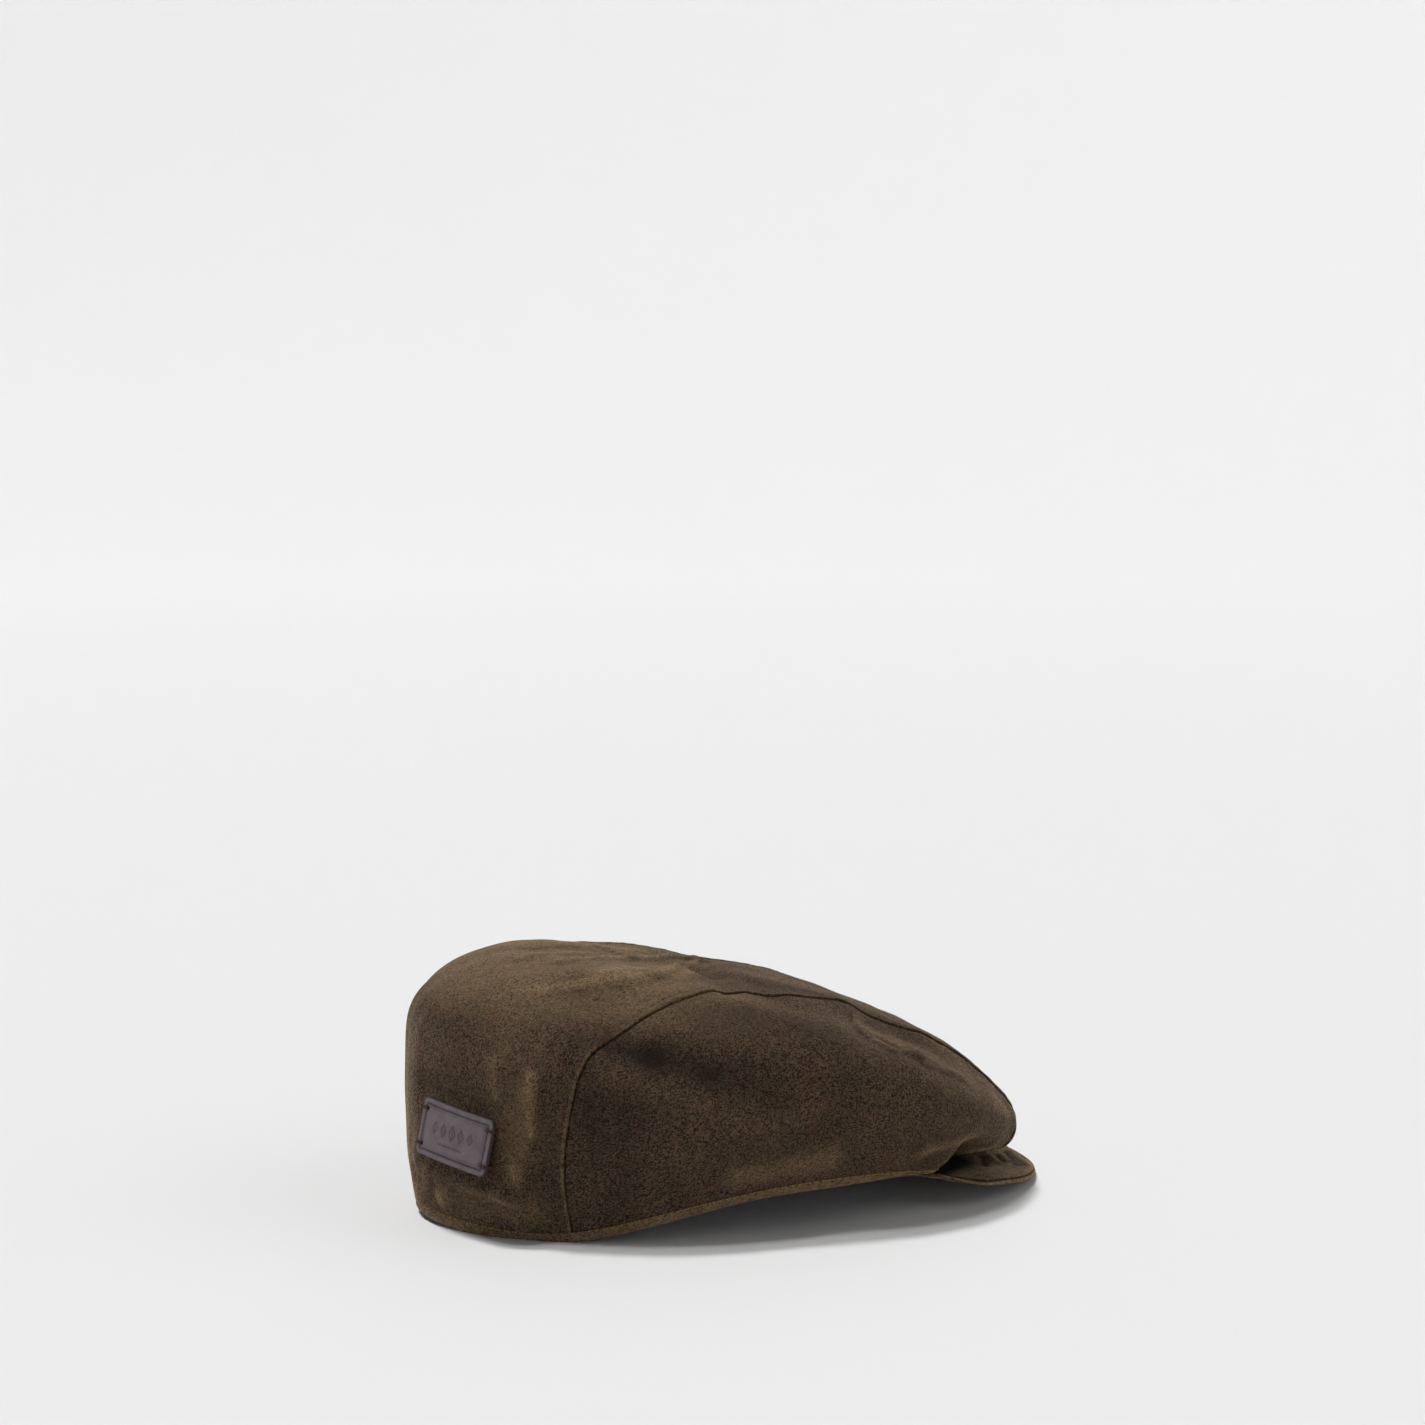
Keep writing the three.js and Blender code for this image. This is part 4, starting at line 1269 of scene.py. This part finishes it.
@dataclass
class LeatherPatch:
    """The leather rectangle on the back, pressed with a border, and sewn on at its corners.

    A pressed line is told by how far in it lies, its width and its depth as a share of the border's.
    """

    seat: PatchSeat
    corner: float = 2.6
    edge_radius: float = 0.55
    border: tuple[float, float, float] = (2.4, 0.42, 1.0)
    inner_border: tuple[float, float, float] = (3.55, 0.22, 0.45)
    press_depth: float = 0.4
    hole_inset: tuple[float, float] = (3.2, 4.2)
    hole_width: float = 0.75
    hole_depth: float = 0.5
    lozenge_columns: tuple[float, ...] = (-10.0, -5.0, 0.0, 5.0, 10.0)
    lozenge_size: tuple[float, float] = (2.1, 3.1)
    lozenge_height: float = 0.9
    lozenge_taper: float = 0.025
    rule_height: float = -4.6
    rule_width: float = 0.32
    rule_ends: tuple[float, float] = (6.4, 7.2)
    cut_band: tuple[float, float] = (0.1, 0.5)
    thread_radius: float = 0.36
    thread_lift: float = 0.22
    thread_past: float = 0.75
    thread_fall: float = 4.2
    strand_gap: float = 0.72
    stations: int = 60

    def __post_init__(self) -> None:
        """Takes the patch's size from its seat."""
        self.width, self.height = self.seat.width, self.seat.height

    def rounded(self, x: Array, y: Array) -> tuple[Array, Array]:
        """Rounds the corners of a rectangle's grid.

        In each corner square, with sides from 0 to 1, a place p, q moves to p sqrt(1 - q^2 / 2),
        q sqrt(1 - p^2 / 2), which turns the square into a quarter disc.

        Args:
            x: Places across.
            y: Places up.

        Returns:
            The moved places.
        """
        p = np.clip((np.abs(x) - self.width / 2) / self.corner + 1, 0, 1)
        q = np.clip((np.abs(y) - self.height / 2) / self.corner + 1, 0, 1)
        moved_x = x + np.sign(x) * self.corner * (p * np.sqrt(1 - q**2 / 2) - p)
        moved_y = y + np.sign(y) * self.corner * (q * np.sqrt(1 - p**2 / 2) - q)
        return moved_x, moved_y

    def pressed(self, x: Array, y: Array, distance: Array) -> Array:
        """How deep the leather is pressed, from 0 to 1: a double border and a row of lozenges.

        Args:
            x: Places across.
            y: Places up.
            distance: Their distances from the edge.

        Returns:
            The depths.
        """
        lines = (self.border, self.inner_border)
        border = sum(depth * bell(distance - inset, width) for inset, width, depth in lines)
        motif = np.zeros_like(x)
        for place in self.lozenge_columns:
            size = np.array(self.lozenge_size) * (1.0 - self.lozenge_taper * abs(place))
            away = np.abs(x - place) / size[0] + np.abs(y - self.lozenge_height) / size[1]
            motif = np.maximum(motif, bell(away - 0.85, 0.24))
            motif = np.maximum(motif, 0.8 * (1 - smoothstep(away, 0.2, 0.42)))
        rule = bell(y - self.rule_height, self.rule_width) * (1 - smoothstep(np.abs(x), *self.rule_ends))
        return np.clip(border + 0.75 * motif + 0.7 * rule, 0, 1)

    def shape(self) -> Shape:
        """The patch as a closed sheet with a turned edge, which is dark where it was cut."""
        crowd = (0.0, 0.002, 0.005, 0.009, 0.014, 0.021, 0.03, 0.04, 0.05, 0.06, 0.07, 0.08, 0.09, 0.1)
        x = (crowded_shares(crowd, 0.0095, True) - 0.5) * self.width
        y = (crowded_shares([1.6 * share for share in crowd], 0.016, True) - 0.5) * self.height
        x, y = np.meshgrid(x, y, indexing="ij")
        square = np.minimum(self.width / 2 - np.abs(x), self.height / 2 - np.abs(y))
        x, y = self.rounded(x, y)
        in_corner_x = np.maximum(np.abs(x) - self.width / 2 + self.corner, 0)
        in_corner_y = np.maximum(np.abs(y) - self.height / 2 + self.corner, 0)
        distance = np.where(
            in_corner_x * in_corner_y > 0, self.corner - np.hypot(in_corner_x, in_corner_y), square
        )
        distance = np.maximum(distance, 0)
        depth = self.pressed(x, y, distance)
        hole_x, hole_y = self.width / 2 - self.hole_inset[0], self.height / 2 - self.hole_inset[1]
        hole = bell(np.hypot(np.abs(x) - hole_x, np.abs(y) - hole_y), self.hole_width)
        sunk = self.press_depth * depth + self.hole_depth * hole + edge_roll(distance, self.edge_radius)
        lift = LEATHER_THICKNESS - sunk
        cut = 1 - smoothstep(distance, *self.cut_band)
        values = {PRESSED: np.clip(depth + hole, 0, 1), CUT_EDGE: cut}
        outer, inner = self.seat.place(x, y, lift), self.seat.place(x, y, 0 * lift)
        return sheet(outer, inner, np.stack([x, y], -1), values)

    def threads(self) -> Shape:
        """The corner threads: two strands from each hole over the short edge into the cloth.

        A strand's middle line rises from the hole, runs level over the face and falls round the
        edge: its lift is the face's less a smooth step down past the edge.

        Returns:
            The strands, as one shape.
        """
        hole_x, hole_y = self.width / 2 - self.hole_inset[0], self.height / 2 - self.hole_inset[1]
        s = np.linspace(0, 1, self.stations)
        reach = hole_x + s * (self.width / 2 + self.thread_past - hole_x)
        fall = self.thread_fall * smoothstep(reach - self.width / 2, -0.35, self.thread_past)
        lift = LEATHER_THICKNESS + self.thread_lift - 0.7 * bell(s, 0.1) - fall
        strands = []
        for side_x, side_y, side_strand in product((-1, 1), (-1, 1), (-1, 1)):
            spread = side_strand * self.strand_gap / 2 * (0.4 + 0.6 * np.sin(np.pi * s))
            path = self.seat.place(side_x * reach, side_y * hole_y + spread, lift)
            travelled = length_along(path, 0)
            ends = np.minimum(travelled, travelled[-1] - travelled) / self.thread_radius
            ends = np.clip(ends, 0.04, 1)
            radius = self.thread_radius * np.sqrt(ends * (2 - ends))
            along = unit(np.gradient(path, axis=0))
            side = unit(np.cross(self.seat.normal, along))
            parts = (path, side, np.cross(along, side), radius, travelled)
            strands.append(threads(*(part[None] for part in parts), 8))
        return joined(strands)


def linear(colour: str) -> tuple[float, float, float, float]:
    """An sRGB hex colour as linear red, green, blue and alpha.

    Each channel c is c / 12.92 up to 0.04045, and ((c + 0.055) / 1.055)^2.4 above it.

    Args:
        colour: Six hex digits after a hash sign.

    Returns:
        The linear colour.
    """
    channels = [int(colour[k : k + 2], 16) / 255 for k in (1, 3, 5)]
    red, green, blue = (c / 12.92 if c <= 0.04045 else ((c + 0.055) / 1.055) ** 2.4 for c in channels)
    return red, green, blue, 1.0


def add(
    tree: bpy.types.NodeTree, kind: str, inputs: dict | Sequence = (), out: int | str = 0, **settings: object
) -> Optional[bpy.types.NodeSocket]:
    """Adds a node.

    Args:
        tree: The node tree that it goes in.
        kind: The node's type, less its ShaderNode prefix.
        inputs: What its sockets hold, in order or by name or number: values, or other nodes' outputs.
        out: The output that is wanted.
        settings: The node's own settings.

    Returns:
        That output, or None where the node has none.
    """
    node = tree.nodes.new("ShaderNode" + kind)
    for name, value in settings.items():
        setattr(node, name, value)
    for key, value in inputs.items() if isinstance(inputs, dict) else enumerate(inputs):
        if isinstance(value, bpy.types.NodeSocket):
            tree.links.new(value, node.inputs[key])
        else:
            node.inputs[key].default_value = value
    return node.outputs[out] if len(node.outputs) else None


# How a Mix node mixes colours: its settings, and the numbers of its colour sockets
MIX = {"data_type": "RGBA", "out": 2}
FIRST, SECOND = 6, 7


@dataclass(frozen=True)
class Finish:
    """A real finish, and the material that shows it."""

    name: str

    def sockets(self, node: AddNode) -> dict:
        """What the shader's sockets hold. The function that it is given adds a node to its tree."""
        raise NotImplementedError

    def material(self) -> bpy.types.Material:
        """The finish as a material: one shader, joined to the output."""
        material = bpy.data.materials.new(self.name)
        material.use_nodes = True
        material.node_tree.nodes.clear()
        node = partial(add, material.node_tree)
        node("OutputMaterial", {"Surface": node("BsdfPrincipled", self.sockets(node))})
        return material


@dataclass(frozen=True)
class WaxedCotton(Finish):
    """Waxed cotton canvas: plain weave, dyed dark brown and soaked with wax.

    The wax gives it a dull, slightly greasy depth. It breaks up into paler marks along ridges, where
    the cloth has been bent and rubbed, which also carry painted highlight, and is painted darker as shade in
    creases, hollows and seams. Sizes are of threads, slubs, specks and clouds in millimetres. Threads are
    too fine to show at the photo's size, so they are drawn coarser and their slubs a little long.
    """

    dark: str = "#150c07"
    pale: str = "#574637"
    olive: str = "#342f1c"
    russet: str = "#40291c"
    # The colour of rubbed wax, which also paints highlight
    rubbed: str = "#927b5c"
    sheen: str = "#bfa47e"
    thread_mm: float = 0.55
    slub_mm: float = 2.4
    speck_mm: float = 0.62
    cell_mm: float = 0.48
    patina_mm: float = 16.0
    tint_mm: float = 5.0
    break_mm: float = 1.6
    bend_mm: float = 5.5
    tint_share: float = 0.4
    rub_share: float = 0.9
    # How far painted shade darkens toward the dark colour
    crease_share: float = 0.85
    roughness: tuple[float, float] = (0.68, 0.82)

    def sockets(self, node: AddNode) -> dict:
        """The weave on the cloth map, wax clouds on object coordinates, and the marks of wear with painted
        highlight and shade.

        The threads' height is 0.8 (warp + weft) + 1.3 speck + 0.8 cell. It sets the colour from dark
        to pale, and the sheen of the loose fibres.
        """
        cloth = node("UVMap", uv_map=CLOTH_MAP)
        place = node("TexCoord", out="Object")
        noise = {}
        for name, along, across, detail, rough in (
            ("warp", self.slub_mm, self.thread_mm, 2.0, 0.5),
            ("weft", self.thread_mm, self.slub_mm, 2.0, 0.5),
            ("speck", self.speck_mm, self.speck_mm, 1.5, 0.65),
        ):
            sized = node("Mapping", {"Vector": cloth, "Scale": (1 / along, 1 / across, 1)})
            inputs = {"Vector": sized, "Scale": 1.0, "Detail": detail, "Roughness": rough}
            noise[name] = node("TexNoise", inputs)
        for name, size, detail, rough in (
            ("patina", self.patina_mm, 4.0, 0.6),
            ("tint", self.tint_mm, 1.0, 0.5),
            ("break", self.break_mm, 3.0, 0.7),
            ("bend", self.bend_mm, 3.0, 0.55),
        ):
            inputs = {"Vector": place, "Scale": 1 / (size * MM), "Detail": detail, "Roughness": rough}
            noise[name] = node("TexNoise", inputs)
        inputs = {"Vector": cloth, "Scale": 1 / self.cell_mm}
        cells = node("SeparateColor", (node("TexVoronoi", inputs, "Color", voronoi_dimensions="2D"),))
        cell = node("Math", (cells, 0.8), operation="MULTIPLY")
        fine = node("Math", (noise["speck"], 1.3, cell), operation="MULTIPLY_ADD")
        both = node("Math", (noise["warp"], noise["weft"]), operation="ADD")
        threads = node("Math", (both, 0.8, fine), operation="MULTIPLY_ADD")

        lit = node("MapRange", (threads, 1.58, 2.12))
        colour = node("Mix", {0: lit, FIRST: linear(self.dark), SECOND: linear(self.pale)}, **MIX)
        for tint, low, high in ((self.olive, 0.5, 0.72), (self.russet, 0.48, 0.28)):
            amount = node("MapRange", (noise["tint"], low, high, 0.0, self.tint_share))
            colour = node("Mix", {0: amount, FIRST: colour, SECOND: linear(tint)}, **MIX)
        shade = node("MapRange", (noise["patina"], 0.3, 0.7, 0.8, 1.2))
        colour = node("VectorMath", {0: colour, "Scale": shade}, operation="SCALE")

        breaks = node("Math", (noise["break"], noise["speck"]), operation="ADD")
        broken = node("MapRange", (breaks, 0.75, 1.2))
        wear_and_painted_light = node("Attribute", out="Fac", attribute_name=RUB_AND_HIGHLIGHT)
        wear_and_painted_light = node("Math", (wear_and_painted_light, broken), operation="MULTIPLY")
        crease = node("Attribute", out="Fac", attribute_name=CREASE_SHADE)
        # Rubbed marks lighten, as wear and painted highlight; creased marks darken, as painted shade
        for mark, share, tint in ((wear_and_painted_light, self.rub_share, self.rubbed), (crease, self.crease_share, self.dark)):
            amount = node("Math", (mark, share), operation="MULTIPLY")
            colour = node("Mix", {0: amount, FIRST: colour, SECOND: linear(tint)}, **MIX)
        fibres = node("MapRange", (threads, 1.52, 2.18, 0.15, 0.9))
        # Painted shade also takes the sheen away
        smooth = node("MapRange", (crease, 0.0, 1.0, 1.0, 0.0))
        weave = node("Bump", {"Height": threads, "Distance": 0.16 * MM, "Strength": 0.8})
        bends = {"Height": noise["bend"], "Distance": 0.5 * MM, "Strength": 0.5, "Normal": weave}
        return {
            "Base Color": colour,
            "Roughness": node("MapRange", (noise["patina"], 0.3, 0.7, *self.roughness)),
            "IOR": 1.45,
            "Specular IOR Level": 0.12,
            "Sheen Weight": node("Math", (fibres, smooth), operation="MULTIPLY"),
            "Sheen Roughness": 0.3,
            "Sheen Tint": linear(self.sheen),
            "Normal": node("Bump", bends),
        }


@dataclass(frozen=True)
class CottonThread(Finish):
    """Twisted sewing thread: slanting plies that catch a little light."""

    colour: str
    shadow: str
    ply_mm: float = 0.55
    slant: float = 38.0

    def sockets(self, node: AddNode) -> dict:
        """Plies slanted over the thread's own map: a wave repeats every 2 pi / 10 over its scale."""
        cloth = node("UVMap", uv_map=CLOTH_MAP)
        turned = node("Mapping", {"Vector": cloth, "Rotation": (0, 0, math.radians(self.slant))})
        inputs = {"Vector": turned, "Scale": 1 / (self.ply_mm * 6.28), "Distortion": 0.4}
        plies = node("TexWave", inputs, "Fac")
        colours = {FIRST: linear(self.shadow), SECOND: linear(self.colour)}
        return {
            "Base Color": node("Mix", {0: plies, **colours}, **MIX),
            "Roughness": 0.7,
            "Specular IOR Level": 0.3,
            "Normal": node("Bump", {"Height": plies, "Distance": 0.06 * MM, "Strength": 0.7}),
        }


@dataclass(frozen=True)
class PressedLeather(Finish):
    """Vegetable tanned leather, dyed taupe and pressed with a hot die.

    Pressing burnishes it darker and smoother in the lines, and the cut edge is dark and dull.
    """

    colour: str = "#51474a"
    pale: str = "#605558"
    pressed: str = "#221b1c"
    cut_edge: str = "#2a2020"
    pebble_mm: float = 0.45
    cloud_mm: float = 4.0
    roughness: float = 0.5

    def sockets(self, node: AddNode) -> dict:
        """Clouds and pebbles on object coordinates, then the pressed lines and the cut edge."""
        place = node("TexCoord", out="Object")
        cloud = node("TexNoise", {"Vector": place, "Scale": 1 / (self.cloud_mm * MM), "Detail": 4.0})
        pebble = node("TexVoronoi", {"Vector": place, "Scale": 1 / (self.pebble_mm * MM)})
        pressed = node("Attribute", out="Fac", attribute_name=PRESSED)
        burnished = node("Math", (pressed, 0.9), operation="MULTIPLY")
        cut = node("Attribute", out="Fac", attribute_name=CUT_EDGE)
        pale = node("MapRange", (cloud, 0.32, 0.68))
        colour = linear(self.colour)
        for amount, tint in ((pale, self.pale), (burnished, self.pressed), (cut, self.cut_edge)):
            colour = node("Mix", {0: amount, FIRST: colour, SECOND: linear(tint)}, **MIX)
        grain = node("Bump", {"Height": pebble, "Distance": 0.05 * MM, "Strength": 0.5})
        waves = {"Height": cloud, "Distance": 0.25 * MM, "Strength": 0.5, "Normal": grain}
        return {
            "Base Color": colour,
            "Roughness": node("MapRange", (pressed, 0.0, 1.0, self.roughness, self.roughness - 0.1)),
            "Specular IOR Level": 0.4,
            "Normal": node("Bump", waves),
        }


@dataclass(frozen=True)
class StudioPaper(Finish):
    """Matte paper for the floor and backdrop, which glows where it turns up."""

    colour: str = "#dedede"
    glow: float = 0.45

    def sockets(self, node: AddNode) -> dict:
        """Dull paper that glows by one less the upward part of its normal."""
        upward = node("SeparateXYZ", (node("NewGeometry", out="Normal"),), "Z")
        upward = node("Math", (upward,), operation="ABSOLUTE")
        return {
            "Base Color": linear(self.colour),
            "Roughness": 0.95,
            "Specular IOR Level": 0.1,
            "Emission Color": linear("#ffffff"),
            "Emission Strength": node("MapRange", (upward, 1.0, 0.0, 0.0, self.glow)),
        }


class StudioLamp(NamedTuple):
    """A lamp: its heading from the cap, tilt from upright, spread in degrees, and strength."""

    name: str
    heading: float
    tilt: float
    spread: float
    strength: float


@dataclass
class Studio:
    """A pale paper sweep, soft lights and the camera of the photo."""

    floor_radius: float = 2.2
    sweep_radius: float = 1.2
    image_side: float = 1425.0
    focal_pixels: float = 4000.0
    azimuth: float = -22.0
    elevation: float = 15.0
    distance: float = 1.6
    target: tuple[float, float, float] = (-0.0125, 0.0, 0.0)
    target_pixel: tuple[float, float] = (690.0, 1190.0)
    sensor: float = 36.0
    lamps: Sequence[StudioLamp] = (
        StudioLamp("key", 150, 18, 9, 1.9),
        StudioLamp("second_key", -166, 18, 9, 0.95),
        StudioLamp("front_fill", -30, 60, 60, 0.65),
        StudioLamp("rear_fill", 60, 45, 50, 0.3),
    )
    sky_strength: float = 0.055

    def floor(self) -> bpy.types.Object:
        """A round floor that curves up into a wall: a flat disc, then a quarter circle, turned."""
        flat = np.linspace(0, self.floor_radius, 12)
        angle = np.linspace(0, np.pi / 2, 73)[1:]
        out = np.concatenate([flat, self.floor_radius + self.sweep_radius * np.sin(angle)])
        up = np.concatenate([0 * flat, self.sweep_radius * (1 - np.cos(angle))])
        turn = np.linspace(0, 2 * np.pi, 97)
        points = np.stack(
            np.broadcast_arrays(out * np.cos(turn)[:, None], out * np.sin(turn)[:, None], up), axis=-1
        )
        quads = grid_quads(len(turn), len(out))
        mesh = bpy.data.meshes.new("paper_sweep")
        mesh.from_pydata(points.reshape(-1, 3).tolist(), [], quads.tolist())
        work = bmesh.new()
        work.from_mesh(mesh)
        bmesh.ops.remove_doubles(work, verts=work.verts, dist=1e-5)
        work.to_mesh(mesh)
        work.free()
        mesh.shade_smooth()
        mesh.materials.append(StudioPaper("matte_paper").material())
        sweep = bpy.data.objects.new("paper_sweep", mesh)
        bpy.context.scene.collection.objects.link(sweep)
        return sweep

    def lamp(self, lamp: StudioLamp) -> None:
        """Hangs a lamp as even as the sun, which faces the cap from its heading and tilt."""
        tilt, turn = math.radians(lamp.tilt), math.radians(lamp.heading)
        light = bpy.data.lights.new(lamp.name, "SUN")
        light.energy = lamp.strength
        light.angle = math.radians(lamp.spread)
        holder = bpy.data.objects.new(lamp.name, light)
        toward = Vector((math.sin(tilt) * math.cos(turn), math.sin(tilt) * math.sin(turn), math.cos(tilt)))
        holder.location = toward * 2.0
        holder.rotation_euler = toward.to_track_quat("Z", "Y").to_euler()
        bpy.context.scene.collection.objects.link(holder)

    def lights(self) -> None:
        """The lamps and a pale sky."""
        for lamp in self.lamps:
            self.lamp(lamp)
        world = bpy.data.worlds.new("pale_sky")
        world.use_nodes = True
        background = world.node_tree.nodes["Background"]
        background.inputs["Color"].default_value = linear("#ffffff")
        background.inputs["Strength"].default_value = self.sky_strength
        bpy.context.scene.world = world

    def camera(self) -> None:
        """The camera, turned so that the target falls on its pixel and no side leans.

        With a and b the target's slopes right of and above the axis, the axis's pitch t solves
        sin t + b cos t = rise / k, with k = 1 / sqrt(1 + a^2 + b^2), and its heading is the
        target's less the angle whose tangent is a / (cos t - b sin t).
        """
        a, e = math.radians(self.azimuth), math.radians(self.elevation)
        back = Vector((math.sin(a) * math.cos(e), -math.cos(a) * math.cos(e), math.sin(e)))
        place = Vector(self.target) + back * self.distance
        slope_right = (self.target_pixel[0] - self.image_side / 2) / self.focal_pixels
        slope_up = (self.image_side / 2 - self.target_pixel[1]) / self.focal_pixels
        k = 1 / math.sqrt(1 + slope_right**2 + slope_up**2)
        pitch = math.asin(-back.z / (k * math.hypot(1, slope_up))) - math.atan(slope_up)
        heading = math.atan2(-back.x, -back.y)
        heading -= math.atan2(slope_right, math.cos(pitch) - slope_up * math.sin(pitch))
        right = Vector((math.cos(heading), -math.sin(heading), 0))
        level = Vector((math.sin(heading), math.cos(heading), 0))
        forward = level * math.cos(pitch) + Vector((0, 0, math.sin(pitch)))
        upward = right.cross(forward)
        lens = bpy.data.cameras.new("camera")
        lens.sensor_width = self.sensor
        lens.lens = self.sensor * self.focal_pixels / self.image_side
        lens.clip_start, lens.clip_end = 0.05, 30.0
        camera = bpy.data.objects.new("camera", lens)
        turn = Matrix((right, upward, -forward)).transposed()
        camera.matrix_world = Matrix.Translation(place) @ turn.to_4x4()
        bpy.context.scene.collection.objects.link(camera)
        bpy.context.scene.camera = camera

    def build(self) -> None:
        """Sets up the floor, the lights, the camera and plain colour handling."""
        self.floor()
        self.lights()
        self.camera()
        bpy.context.scene.view_settings.view_transform = "Standard"


@dataclass
class FlatCap:
    """The whole cap."""

    crown: Crown = field(default_factory=Crown)
    band_stitch: StitchForm = StitchForm(2.5, 0.21, 0.14, 0.08)
    welt_stitch: StitchForm = StitchForm(2.0, 0.12, 0.05, 0.0)
    welt_stitch_lift: float = 0.04
    panels: PanelChart = field(init=False)

    def __post_init__(self) -> None:
        """Lays out the panels."""
        self.panels = PanelChart(self.crown)

    def build(self) -> None:
        """Makes every piece and dresses it."""
        cotton = WaxedCotton("waxed_cotton_canvas").material()
        # A paler copy of the canvas on the band and the peak, for wear and as painted light
        worn_and_lit_hem_cotton = WaxedCotton("waxed_cotton_worn_and_lit", dark="#1a1009", pale="#665541").material()
        brown_thread = CottonThread("brown_cotton_thread", "#4d3f2e", "#261d14").material()
        tan_thread = CottonThread("tan_cotton_thread", "#9a7e48", "#5d4825").material()
        red_thread = CottonThread("red_brown_waxed_thread", "#4a2724", "#221110").material()
        leather = PressedLeather("pressed_taupe_leather").material()
        band, peak, patch = RimBand(self.panels), Peak(self.crown), LeatherPatch(self.crown.seat)
        centre = CentrePanel(self.panels)
        write_piece("centre_panel_cloth", centre.shape(), cotton, "crown_center_panel")
        for side in Side:
            name = f"side_panel_{side.name.lower()}"
            write_piece(f"{name}_cloth", SidePanel(self.panels, side).shape(), cotton, name)
        write_piece("rim_band_cloth", band.shape(), worn_and_lit_hem_cotton, "rim_band")
        write_piece("peak_top_cloth", peak.top_cover(), worn_and_lit_hem_cotton, "peak_top")
        write_piece("peak_underside_cloth", peak.under_cover(), worn_and_lit_hem_cotton, "peak_underside")
        write_piece("patch_leather", patch.shape(), leather, "leather_patch")
        write_piece("patch_threads", patch.threads(), red_thread)
        write_piece("rim_band_stitches", stitches(*band.stitch_path(), self.band_stitch), tan_thread)
        rows = [stitches(*self.welt_line(side), self.welt_stitch) for side in Side]
        write_piece("welt_stitches", joined(rows), brown_thread)

    def welt_line(self, side: Side) -> tuple[Array, Array]:
        """The line of the stitches along the centre panel's welt on one side."""
        share = np.linspace(0.003, 0.997, 1400)
        chart = self.panels.seam_edge(share, 0 * share - WELT_WIDTH) * np.array([1, side.value])
        cloth = self.panels.cloth(chart)
        return cloth.lifted(np.full(len(share), self.welt_stitch_lift)), cloth.normal


def main() -> None:
    """Loads the frame and builds the cap and the studio round it."""
    logging.basicConfig(level=logging.INFO, format="%(message)s")
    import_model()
    Studio().build()
    FlatCap().build()
    log.info("sizes written")


if __name__ == "__main__":
    main()
